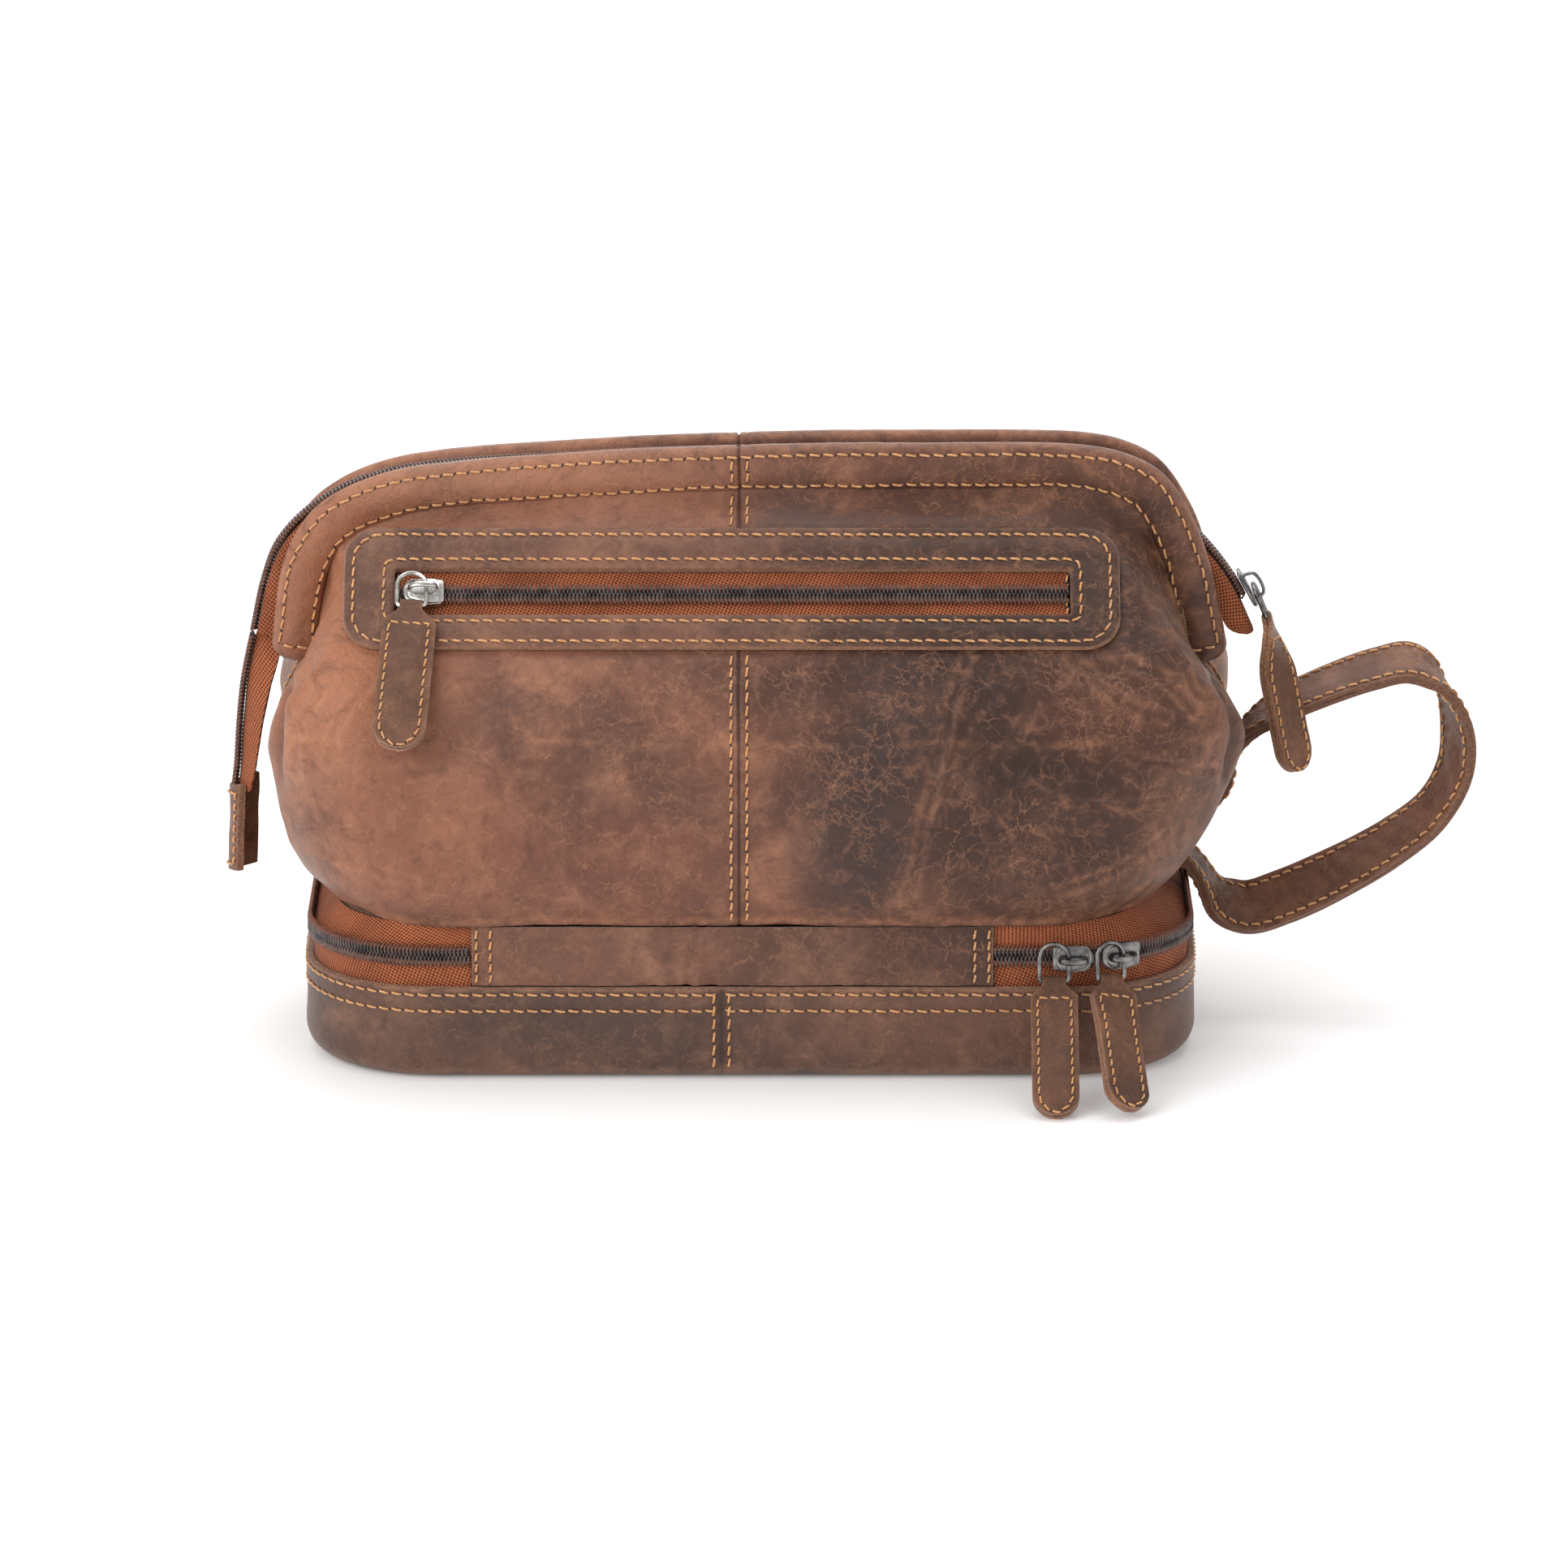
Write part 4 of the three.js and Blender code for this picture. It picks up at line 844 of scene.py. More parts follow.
# points, depth and width of creases that years of use have pressed into the front (-1) and the back (1)
CREASES = {
    -1: [
        (((66, 134), (60, 112), (54, 88), (48, 62)), 0.45, 1.5),
        (((98, 134), (112, 124), (128, 118)), 0.5, 1.4),
        (((108, 140), (124, 130), (138, 120)), 0.55, 1.5),
        (((118, 108), (132, 102), (144, 98)), 0.45, 1.3),
        (((86, 98), (104, 92), (126, 93)), 0.3, 1.2),
        (((-136, 124), (-141, 112), (-142, 98)), 0.5, 1.5),
        (((-120, 128), (-128, 116), (-131, 104)), 0.4, 1.4),
        (((-110, 96), (-92, 101), (-66, 99)), 0.25, 1.1),
        (((-60, 130), (-66, 122), (-78, 118)), 0.22, 1.0),
        (((-136, 76), (-120, 70), (-104, 68)), 0.35, 1.4),
        (((96, 64), (112, 70), (128, 80)), 0.35, 1.4),
    ],
    1: [
        (((-70, 150), (-62, 120), (-66, 84)), 0.4, 1.5),
        (((40, 158), (48, 128), (44, 96)), 0.35, 1.4),
        (((98, 134), (114, 124), (134, 116)), 0.5, 1.4),
        (((-104, 132), (-120, 122), (-136, 116)), 0.5, 1.4),
        (((-40, 92), (-10, 98), (30, 94)), 0.3, 1.2),
        (((96, 64), (112, 72), (126, 84)), 0.35, 1.4),
    ],
}


def skin_relief(grid, cc, side_y, seed):
    """How far the leather stands in or out of its plain form, and how worn it is there: lighter where worn, darker
    along the seam, and painted shade in the fold's valley.
    """
    x, z = grid[..., 0], grid[..., 2]
    off_seam = np.abs(x - SEAM_X)
    relief = 0.95 * ripple(grid * (1, 1, 1.25), 46, seed) + 0.34 * ripple(grid, 17, seed + 7)
    relief += 0.1 * ripple(grid, 6.5, seed + 3)
    # short creases where the skin turns in to the frame and towards the base
    turn = smoothstep(cc, 6.5, 12) * smoothstep(z, 108, 128)
    relief += turn * 1.3 * ripple(grid * (1, 1, 0.35), 8.5, seed + 5)
    relief += bell(z, 57, 6) * 0.4 * ripple(grid * (1, 1, 0.3), 9, seed + 9)
    level = z + 0.9 * ripple(grid, 30, 5.5)
    relief -= 0.3 * bell(level, 109.5, 1.0) * (0.6 + 0.4 * ripple(grid, 18, seed + 2)) * (cc < 12)
    lined = 0 * z
    bent = 1.8 * ripple(grid, 14, seed + 4)
    for points, deep, wide in CREASES[side_y]:
        near = crease_distance(x + bent, z + 0.6 * bent, points)
        relief += deep * (0.7 * bell(near, wide * 1.5, wide) - bell(near, 0, wide * 0.8))
        lined = np.maximum(lined, deep * bell(near, wide * 1.3, wide * 0.7))
    # the skin folds in between the front and the side below the hinge
    valley = smoothstep(z, 84, 102) * (1 - smoothstep(z, 119, 126))
    relief += valley * (1.5 * bell(cc, 13.9, 0.9) - 3.0 * bell(cc, 12.7, 0.5))
    relief *= smoothstep(off_seam, 2, 9) * 0.85 + 0.15
    if side_y < 0:
        off_pocket = pocket_distance(x, z)
        relief = relief * smoothstep(off_pocket, 0.5, 9) - 0.25 * (1 - smoothstep(off_pocket, 0, 4))
    relief -= 0.5 * bell(off_seam, 0, 0.9)
    relief -= 0.28 * bell(off_seam, SEAM_ROW, 0.75)
    relief += 0.22 * bell(off_seam, 1.2, 0.6)
    wear_and_shade = 0.35 * smoothstep(cc, 8, 12) + 0.5 * bell(z, 52.5, 1.6) - 0.75 * bell(off_seam, 0, 0.5)
    wear_and_shade += 0.45 * bell(level, 110.3, 1.1) * smoothstep(ripple(grid, 20, seed + 2), -0.5, 0.4) + 0.7 * lined
    # painted shade: the fold's valley darkened
    wear_and_shade -= 0.8 * valley * bell(cc, 12.7, 0.5)
    return relief, wear_and_shade


BLENDS = {
    ("upper", "front_frame"): {"start": (0, 0, 0.052), "end": (0, 0, 0.128)},
    ("upper", "back_frame"): {"start": (0, 0, 0.058), "end": (0, 0, 0.130)},
    ("base", "upper"): {"start": (0, 0, 0.043), "end": (0, 0, 0.0505)},  # the band folds along its top edge
}


def bend_between(obj, *bodies):
    """Lets a piece that is sewn to two bodies bend from the first to the second."""
    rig.blend(obj, *bodies, **BLENDS[bodies])


HEM = ((3.4, 0.9), (2.2, 1.15), (1.0, 0.9), (0.3, 0.45))  # how far in and down the turned bottom edge runs


def column_off_seam(row, aside):
    """The fractional column at which a row of a panel is so far from the centre seam."""
    off = np.abs(row[:, 0] - SEAM_X)
    index = np.argsort(off)
    return np.interp(aside, off[index], index.astype(float))


def make_panel(face, side_y, side, side_x):
    """A quarter of the skin, sewn beside the centre seam and to the gusset."""
    grid, cc = quarter(side_x, side_y)
    relief, wear_and_shade = skin_relief(grid, cc, side_y, 11.3 + 5.1 * side_x + 17.7 * side_y)
    grid = raised(grid, relief)
    inward = unit(((SEAM_X, 0, 0) - grid[0]) * (1, 1, 0))
    full = np.concatenate([[grid[0] + inward * a - (0, 0, b) for a, b in HEM], grid])
    # the turned hem is darkened as painted shade under the bag's bottom edge
    shade = np.concatenate([np.repeat(wear_and_shade[:1], len(HEM), 0) - 0.25, wear_and_shade])
    keep = None
    if side_y < 0:
        mid = (full[:-1, :-1] + full[1:, 1:]) / 2
        x, z = mid[..., 0], mid[..., 2]
        across = (x > SLOT["left"] - 2) & (x < SLOT["right"] + 2)
        keep = ~(across & (z > SLOT["bottom"] - 1.2) & (z < SLOT["top"] + 1.2))
    mats = (body_leather, edge_tan, lining_cloth)
    obj = slab(f"{face}_leather_{side}", full, LEATHER, mats, shade, keep=keep)
    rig.replaces(obj, f"{face}_panel_{side}")
    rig.slot(obj, "leather")
    bodies = ("upper", f"{face}_frame")
    bend_between(obj, *bodies)
    normals = grid_normals(full)
    rows = np.arange(4, full.shape[0] - 0.5, 0.5)
    cols = np.array([column_off_seam(full[int(r)], SEAM_ROW) for r in rows])
    line, up = sample(full, rows, cols), sample(normals, rows, cols)
    low, high = 52.5, 175.5
    shown = [(low, high)] if side_y > 0 else [(low, POCKET["bottom"] - 0.8), (POCKET["top"] + 0.8, high)]
    for low, high in shown:
        part = (line[:, 2] > low) & (line[:, 2] < high)
        sew(bodies, line[part], up[part])
    edge = full.shape[1] - 3.2 if side_x * side_y < 0 else 2.2
    sew_on(bodies, full, normals, np.arange(8, full.shape[0] - 26, 0.5), edge)


FACES, SIDES = (("front", -1), ("back", 1)), (("left", -1), ("right", 1))
for face, side_y in FACES:
    for side, side_x in SIDES:
        make_panel(face, side_y, side, side_x)


# ---------------------------------------------------------------- gussets
def make_gusset(side, side_x):
    """The side of the bag, pleated towards the frame, and darkened up its pleat as painted shade."""
    reach = left_at if side_x < 0 else right_at
    z = np.linspace(BAG_BOTTOM + 0.6, 118.5, 90)[:, None]
    t = np.linspace(-1, 1, 71)[None]
    half = lerp(34, 15, smoothstep(z, 92, 123))
    rise = smoothstep(z, 78, 124)
    x = reach(z) - LEATHER - 1.0 - (10.5 if side_x < 0 else 14) * smoothstep(z, 88, 119)
    pleat = rise * (5.5 * (1 - np.abs(t)) ** 1.2 - 2.2 * bell(np.abs(t), 0.55, 0.2))
    x = x - pleat - 3.5 * t * t * (1 - 0.6 * rise)
    grid = np.stack([side_x * x, side_x * t * half, z + 0 * t], 2)
    lumps = 0.7 * ripple(grid * (1, 1, 0.6), 15, 3.3 + side_x) + 0.35 * ripple(grid * (1, 1, 0.4), 7, 8.1)
    grid = raised(grid, lumps * (0.4 + 0.6 * rise))
    # painted shade: darker towards the frame, most in the pleat's pushed-in middle
    wear_and_shade = -0.5 * rise * (1 - np.abs(t)) - 0.2 * rise
    obj = slab(f"side_leather_{side}", grid, 1.3, (side_leather, edge_dark, lining_cloth), wear_and_shade)
    place(obj, "upper", f"gusset_{side}", slot="dark_leather")


for side, side_x in SIDES:
    make_gusset(side, side_x)


# ---------------------------------------------------------------- mouth channels
def closed_section(points, count):
    """A smooth closed section through (n, y) points."""
    p = np.array(points, float)
    ring = np.vstack([p[-2:], p, p[:3]])
    dense = spline(ring, 16)[32:-32]
    s = lengths(dense)
    return along(dense, np.linspace(0, s[-1], count, endpoint=False))[0]


CHANNEL = [
    (-13.9, 10.2), (-13.5, 12.0), (-12.3, 12.75), (-10.2, 13.5), (-7, 13.9), (-4.4, 13.5),
    (-2.6, 12.7), (-1.0, 12.0), (0.0, 10.4), (0.4, 8.6), (0.1, 6.9), (-0.9, 5.7), (-2.6, 5.2),
    (-7.5, 5.1), (-12.4, 5.2), (-13.8, 6.4), (-14.1, 8.2),
]


CAP_LONG = 5.0  # the round ends of the legs


def make_channel(face, side_y):
    """The leather channel that the frame's rod runs in, closed and rounded at the tips of its legs."""
    section = closed_section(CHANNEL, 56)
    middle = section.mean(0)
    cap = np.sin(np.linspace(0, math.pi / 2, 7))[::-1][:-1]
    seam = lip_t_at_x(SEAM_X, 7)
    aside = np.array([0, 0.35, 0.7, 1.1, 1.6])
    fine = seam + np.concatenate([-aside[:0:-1], aside]) / LIP.total
    t = np.linspace(*LEG_RANGE, 330)
    t = np.sort(np.concatenate([t[np.abs(t - seam) > 2 / LIP.total], fine]))
    push = np.concatenate([-CAP_LONG * cap, 0 * t, CAP_LONG * cap[::-1]])
    shrink = np.sqrt(1 - (np.abs(push) / CAP_LONG) ** 2 * 0.995)
    capped = lambda values, first, last: np.concatenate([0 * cap + first, values, 0 * cap + last])
    p, out = LIP.at(capped(t, t[0], t[-1]))
    run = np.stack([out[:, 2], 0 * out[:, 0], -out[:, 0]], 1)
    n, y = (middle[k] + (section[None, :, k] - middle[k]) * shrink[:, None] for k in (0, 1))
    grid = p[:, None] + out[:, None] * n[..., None] + (run * push[:, None])[:, None]
    grid[..., 1] = side_y * y
    lumps = 0.32 * ripple(grid * (0.6, 1, 1), 16, 21 + side_y) + 0.16 * ripple(grid, 6, 31 + side_y)
    lumps = lumps * (smoothstep(section[:, 1], 11.0, 12.8)[None] + 0.3) * shrink[:, None]
    off_seam = capped(np.abs((t - seam) * LIP.total), 99, 99)[:, None]
    lumps -= 0.85 * bell(off_seam, 0, 0.5) + 0.2 * bell(off_seam, SEAM_ROW, 0.7)
    direction = unit(np.stack([n - middle[0], y - middle[1]], 2) + 1e-6)
    grid += out[:, None] * (direction[..., :1] * lumps[..., None])
    grid[..., 1] += side_y * direction[..., 1] * lumps
    wear_and_shade = 0.55 * bell(section[:, 0], 0.2, 1.6)[None] + 0 * lumps - 0.7 * bell(off_seam, 0, 0.5)
    rows, cols = grid.shape[:2]
    first, last = np.arange(cols), np.arange((rows - 1) * cols, rows * cols)
    faces = [*grid_quads(rows, cols, True, flip=side_y > 0)]
    faces += [first[::-1], last] if side_y < 0 else [first, last[::-1]]
    verts = grid.reshape(-1, 3)
    flat_uv = np.zeros((len(verts), 2))
    obj = build(f"{face}_channel", verts, faces, [body_leather], uv=flat_uv, wear_and_shade=wear_and_shade.ravel())
    body = f"{face}_frame"
    place(obj, body, f"{face}_lip", slot="leather")
    # stitch rows above and below the rod, beside the seam, and round the leg tips
    row_at = lambda at: np.interp(at, t, np.arange(len(t))) + len(cap)
    normal = grid_normals(np.concatenate([grid, grid[:, :1]], 1))[:, :-1]
    if np.mean(normal[100:200, np.argmax(section[:, 1]), 1]) * side_y < 0:
        normal = -normal
    lower, upper = (np.argmin(np.hypot(*(section - spot).T)) for spot in ((-12.3, 12.75), (-2.5, 12.6)))
    for a_end, b_end in ((t[0], seam), (seam, t[-1])):
        for col in (lower, upper):
            sew_on(body, grid, normal, np.arange(row_at(a_end) + 0.7, row_at(b_end) - 0.7, 0.5), col)
    low, high = min(lower, upper), max(lower, upper)
    for sign in (-1, 1):
        row = row_at(seam + sign * SEAM_ROW / LIP.total)
        sew_on(body, grid, normal, row, np.linspace(low + 0.6, high - 0.2, 30), inset=0.5)
    for row in (len(cap) + 0.6, rows - len(cap) - 1.6):
        sew_on(body, grid, normal, row, np.linspace(low + 0.4, high - 0.4, 30), inset=0.4)


for face, side_y in FACES:
    make_channel(face, side_y)

# ---------------------------------------------------------------- zips
COIL_PITCH, COIL_WIRE, COIL_TURN = 1.25, 0.34, 10  # the last is how many points a turn has
COIL_INNER = -0.28  # the two coils of a chain overlap a little


def coil(lot, line, out, across, outer, low, high, phase):
    """One nylon coil: a flattened helix beside the chain's middle line."""
    total = lengths(line)[-1]
    s = np.arange(int(total / COIL_PITCH) * COIL_TURN + 1) / COIL_TURN * COIL_PITCH
    s = s[s <= total]
    p, o, a = along(line, s, out, across)
    angle = 2 * math.pi * (s / COIL_PITCH + phase)
    reach, rise = (outer - COIL_INNER) / 2 - COIL_WIRE * 0.4, (high - low) / 2 - COIL_WIRE
    ca, sa = np.cos(angle), np.sin(angle)
    ca = np.sign(ca) * np.abs(ca) ** 0.75
    centre = p + a * ((outer + COIL_INNER) / 2 + reach * ca)[:, None]
    centre = centre + o * ((low + high) / 2 + rise * sa)[:, None]
    t = tangents(centre)
    up = unit(np.cross(np.cross(t, o * sa[:, None] + a * ca[:, None]), t) + 1e-9)
    lot.add(*tube_arrays(centre, up, circle(COIL_WIRE, 6)))


def chevrons(lot, line, out, across, high):
    """The brown thread that loops over a coil's outer side and holds it to its tape."""
    total = lengths(line)[-1]
    side = np.array([1.3, 1.6, 2.3, 2.95, 3.3])
    rise = high + np.array([-0.8, -0.48, -0.42, -0.85, -1.5])
    for k in range(int(total / COIL_PITCH)):
        s = (k + 0.25) * COIL_PITCH + np.array([-0.3, -0.1, 0.15, 0.45, 0.6])
        if s[-1] <= total:
            p, o, a = along(line, s, out, across)
            lot.add(*tube_arrays(p + a * side[:, None] + o * rise[:, None], o, circle(0.32, 6)))


def zip_half(name, body, cad_node, line, out, across, low, high, phase):
    """One coil with the thread that holds it."""
    lot = Lot()
    coil(lot, line, out, across, 3.0, low, high, phase)
    obj = lot.make(f"{name}_coil", [coil_nylon])
    place(obj, body, cad_node, slot="zip_coil")
    rows = Lot()
    chevrons(rows, line, out, across, high)
    stitched = rows.make(f"{name}_coil_thread", [coil_thread])
    place(stitched, body, slot="zip_tape")


def zip_line(inset, z):
    """The base zip's way: from the band's right end, round the back, to its left end."""
    ring = plan_ring(TRAY, inset, z)
    start = np.argmin(np.hypot(ring[:, 0] - BAND[1], ring[:, 1] + TRAY["half"]))
    ring = np.roll(ring, -int(start), 0)
    front, left, right = -TRAY["half"] + inset, BAND[0] - GAP, BAND[1] + GAP
    behind_band = (np.abs(ring[:, 1] - front) < 0.01) & (ring[:, 0] < right) & (ring[:, 0] > left)
    return np.vstack([[right, front, z], ring[~behind_band], [left, front, z]])


base_line = zip_line(0, CHAIN_Z)
base_run = tangents(base_line)
base_out = unit(np.cross(base_run, (0, 0, 1)))
up_axis = np.tile([0.0, 0.0, 1.0], (len(base_line), 1))
zip_half("base_upper", "upper", "base_coil_upper", base_line, base_out, up_axis, -2.75, -0.45, 0.0)
zip_half("base_lower", "base", "base_coil_lower", base_line, base_out, -up_axis, -2.75, -0.45, 0.5)

# the base tapes: the lower one stands up out of the tray, the upper one leans in under the bag
inner_line = zip_line(2.6, 0)
rise = np.linspace(22, CHAIN_Z - 0.15, 14)
lower_tape = np.stack([inner_line + (0, 0, z) for z in rise])
tape("base_tape_lower", raised(lower_tape, 0.12 * ripple(lower_tape, 14, 4.4)), "base")


def floor_line(z, inset=-1.0):
    """The edge of the bag's floor, point for point beside the zip's line."""
    ring = plan_ring(FLOOR_PLAN, inset, z)
    tree = ring[:, None, :2] - (inner_line[None, :, :2] * (0.945, 0.945) + (-0.2, 0))
    return ring[np.argmin(np.sum(tree**2, 2), 0)]


top_edge = floor_line(BAG_BOTTOM - 0.4)
for _ in range(6):
    top_edge[1:-1] = (top_edge[:-2] + 2 * top_edge[1:-1] + top_edge[2:]) / 4
foot_edge = inner_line + (0, 0, CHAIN_Z + 0.15)
upper_tape = np.stack([lerp(foot_edge, top_edge, t) for t in np.linspace(0, 1, 12)])
tape("base_tape_upper", raised(upper_tape, 0.15 * ripple(upper_tape, 14, 6.4)), "upper")

# the mouth zip; TAPE_SHAPE is how far out and aside its tapes run
CHAIN_SHOWN = 0.972
TAPE_SHAPE = (
    (0.05, 0.3), (0.1, 1.6), (0.0, 3.0), (-0.5, 3.8),
    (-1.6, 4.4), (-3.2, 4.75), (-5.2, 4.85), (-7.5, 4.85),
)
for face, side_y in FACES:
    s = np.linspace(0, CHAIN_SHOWN, 400)
    p, out = CHAIN.at(s)
    across = np.tile([0.0, side_y, 0.0], (len(s), 1))
    phase = 0.5 * (side_y > 0)
    zip_half(f"mouth_{face}", f"{face}_frame", f"mouth_coil_{face}", p, out, across, -0.1, 2.5, phase)
    t = np.linspace(0, 1, 260)
    p, out = CHAIN.at(t)
    ease = np.sqrt(1 - np.clip((t - 0.982) / 0.018, 0, 0.96) ** 2)[:, None]
    cloth = np.stack([p + out * (n * ease) + (0, side_y * y, 0) for n, y in TAPE_SHAPE])
    cloth = raised(cloth, 0.1 * ripple(cloth, 12, 9.1))
    tape(f"mouth_tape_{face}", cloth[:, ::side_y], f"{face}_frame", 0.6)

# the closed end of the zip hangs below the frame as a narrow folded ribbon
t = np.linspace(0, 1, 60)
p, out = TAIL.at(t)
spread = np.linspace(-1, 1, 25)
trail = lerp(4.0, 9.0, t)[:, None]
fold = np.abs(spread[None]) ** 1.6 * trail
tail = p[:, None] - out[:, None] * (fold + 0.05)[..., None]
tail[..., 1] = 9 * spread[None] * (lerp(0.82, 1.0, t) * (1 - 0.5 * smoothstep(t, 0.8, 1)))[:, None]
tail = raised(tail, 0.35 * ripple(tail * (1, 1, 0.5), 9, 2.7))
faces_bag = np.mean(grid_normals(tail)[:, 12, 0]) > 0
tape("tail_tape", tail[:, ::-1] if faces_bag else tail, "zip_tail")
lot, rows = Lot(), Lot()
for side_y, phase in ((-1, 0.0), (1, 0.5)):
    across = np.tile([0.0, side_y, 0.0], (len(t), 1))
    coil(lot, p, out, across, 2.8, -0.2, 2.2, phase)
    chevrons(rows, p, out, across, 2.2)
place(lot.make("tail_coils", [coil_nylon]), "zip_tail", "tail_coil", slot="zip_coil")
place(rows.make("tail_coil_thread", [coil_thread]), "zip_tail", slot="zip_tape")

# its end is held in a folded leather tab
z = np.linspace(77.2, 49, 34)[:, None]
q = np.linspace(-1, 1, 41)[None]
lean = (77.2 - z) / 28
wing = np.where(q < 0, 3.2 * np.abs(q) ** 1.5, 7.4 * np.abs(q) ** 1.25)
half = 8.4 + 0.9 * np.sin(lean * math.pi)
rise = np.where(q > 0, 2.2 * q * (1 - lean), -1.5 * q)
tab = np.stack([-167.0 + wing - 1.0 * lean + 0 * z, q * half, z + rise], 2)
tab = raised(tab, 0.22 * ripple(tab, 8, 5.5))
if np.mean(grid_normals(tab)[:, 20, 0]) >= 0:
    tab = tab[:, ::-1]
wear_and_shade = 0.3 * np.abs(q) ** 6 + 0 * z
obj = slab("tail_tab_leather", tab, 2.4, (pull_leather, edge_tan, pull_leather), wear_and_shade)
place(obj, "zip_tail", "tail_tab", slot="leather")
tab_normals = grid_normals(tab)
for col in (4.5, 36.5):
    sew_on("zip_tail", tab, tab_normals, np.linspace(2, 31, 50), col, pitch=FINE_STITCH)
for row in (3.0, 30.5):
    sew_on("zip_tail", tab, tab_normals, row, np.linspace(6, 35, 50), pitch=FINE_STITCH)


# ---------------------------------------------------------------- base compartment
def ring_grid(profile, plan=TRAY):
    """Rows of one plan outline at several insets and heights."""
    return np.stack([plan_ring(plan, inset, z) for inset, z in profile])


def ring_solid(name, profile, mats, which, relief, wear_and_shade=None, plan=TRAY):
    """A dish from a profile that starts and ends on its two flat middles."""
    grid = ring_grid(profile, plan)
    normals = grid_normals(grid, True)
    grid = grid + normals * relief(grid, normals)[..., None]
    rows, cols = grid.shape[:2]
    faces = [*grid_quads(rows, cols, True)]
    kinds = list(np.repeat(which[: rows - 1], cols))
    verts = grid.reshape(-1, 3)
    for row in (0, rows - 1):
        centre, first = len(verts), row * cols
        verts = np.vstack([verts, grid[row].mean(0)])
        ring = [(first + j, first + (j + 1) % cols) for j in range(cols)]
        faces += [(a, b, centre) if row else (b, a, centre) for a, b in ring]
        kinds += [which[-1 if row else 0]] * cols
    shade = None if wear_and_shade is None else np.concatenate([wear_and_shade(grid).ravel(), [0, 0]])
    uv = np.vstack([grid_uv(grid), [[0, 0]] * 2])
    return build(name, verts, faces, mats, kinds, uv, shade), grid, grid_normals(grid, True)


TRAY_ROWS = (28.3, 23.0)  # the heights of the tray's two rows of stitches


def tray_relief(grid, normals):
    """Lumps on the tray's outer wall, and what its stitches and seam press in."""
    x, z = grid[..., 0], grid[..., 2]
    wall = smoothstep(z, 1.5, 9) * (1 - smoothstep(z, 29.5, 30.5))
    outer = (np.abs(normals[..., 2]) < 0.95) & (np.arange(len(grid)) < TRAY_OUTER)[:, None]
    lumps = 0.42 * ripple(grid * (1, 1, 1.4), 30, 2.2) + 0.16 * ripple(grid, 10, 5.2)
    rows = -0.22 * (bell(z, TRAY_ROWS[0], 0.8) + bell(z, TRAY_ROWS[1], 0.8)) + 0.18 * bell(z, 25.6, 1.4)
    off = np.abs(x - TRAY_SEAM_X)
    seam = -0.7 * bell(off, 0, 0.5) - 0.2 * bell(off, 2.4, 0.7)
    return outer * wall * (lumps + rows + seam)


def tray_wear(grid):
    x, z = grid[..., 0], grid[..., 2]
    return 0.8 * bell(z, 30.0, 0.8) + 0.5 * bell(z, 2.5, 2.2) - 0.7 * bell(x, TRAY_SEAM_X, 0.5)


turn = np.linspace(0, math.pi / 2, 10)
bottom = [(TRAY_ROUND * (1 - math.sin(a)), TRAY_ROUND * (1 - math.cos(a))) for a in turn]
outer_wall = [(0, z) for z in np.linspace(8.8, 29.7, 24)]
rim = [(0.15, 30.2), (0.55, 30.5), (2.05, 30.5), (2.45, 30.2)]
inner_wall = [(2.6, z) for z in (29.5, 24, 16, 10)]
dish = [(3.2, 6.0), (5.2, 3.6), (9, 2.6), (20, 2.6), (34, 2.6)]
profile = [(34, 0), (20, 0), (12, 0), *bottom, *outer_wall, *rim, *inner_wall, *dish]
WALL_ROW = 3 + len(bottom)  # the first row of the outer wall
TRAY_OUTER = WALL_ROW + len(outer_wall)
kinds = [0] * TRAY_OUTER + [1] * len(rim) + [2] * (len(inner_wall) + len(dish) + 1)
tray_mats = [trim_leather, edge_tan, side_leather]
tray, tray_grid, tray_normals = ring_solid(
    "base_tray_leather", profile, tray_mats, kinds, tray_relief, tray_wear
)
tray.data.materials[0] = leather(
    "tray_leather", rgb(80, 58, 50), rgb(108, 76, 62), rgb(156, 114, 90),
    tone_and_shade_patches=TONE_AND_SHADE_PATCHES[10:12], seed=0.11
)
place(tray, "base", "base_tray", slot="dark_leather")
cols = tray_grid.shape[1]
front_run = tray_grid[20, : cols // 3, 0]
seam_col = np.argmin(np.abs(front_run - TRAY_SEAM_X))
once_round = lambda field: np.concatenate([field, field[:, : seam_col + 1]], 1)
for z in TRAY_ROWS:
    row = WALL_ROW + np.interp(z, [p[1] for p in outer_wall], np.arange(len(outer_wall)))
    run = np.arange(seam_col + 0.35, seam_col + cols - 0.35, 0.5)
    sew_on("base", once_round(tray_grid), once_round(tray_normals), row, run)
for x in (TRAY_SEAM_X - 2.4, TRAY_SEAM_X + 2.4):
    col = np.interp(x, front_run, np.arange(len(front_run)))
    sew_on("base", tray_grid, tray_normals, np.linspace(9, WALL_ROW + 22.5, 90), col)

lining_profile = [
    (34, 5.4), (16, 5.4), (9, 5.4), (5.4, 6.4), (3.6, 8.6), (3.0, 12), (3.0, 17), (3.0, 21.4), (3.3, 21.9),
    (3.6, 21.4), (3.8, 17), (3.8, 12), (4.4, 9), (6.2, 7.1), (9.6, 6.2), (16, 6.2), (34, 6.2),
]
lining_relief = lambda grid, normals: 0.12 * ripple(grid, 9, 1.7) * (np.arange(len(grid)) > 9)[:, None]
lining, _, _ = ring_solid("base_lining_cloth", lining_profile, [lining_cloth], [0] * 18, lining_relief)
place(lining, "base", "base_lining", slot="lining")

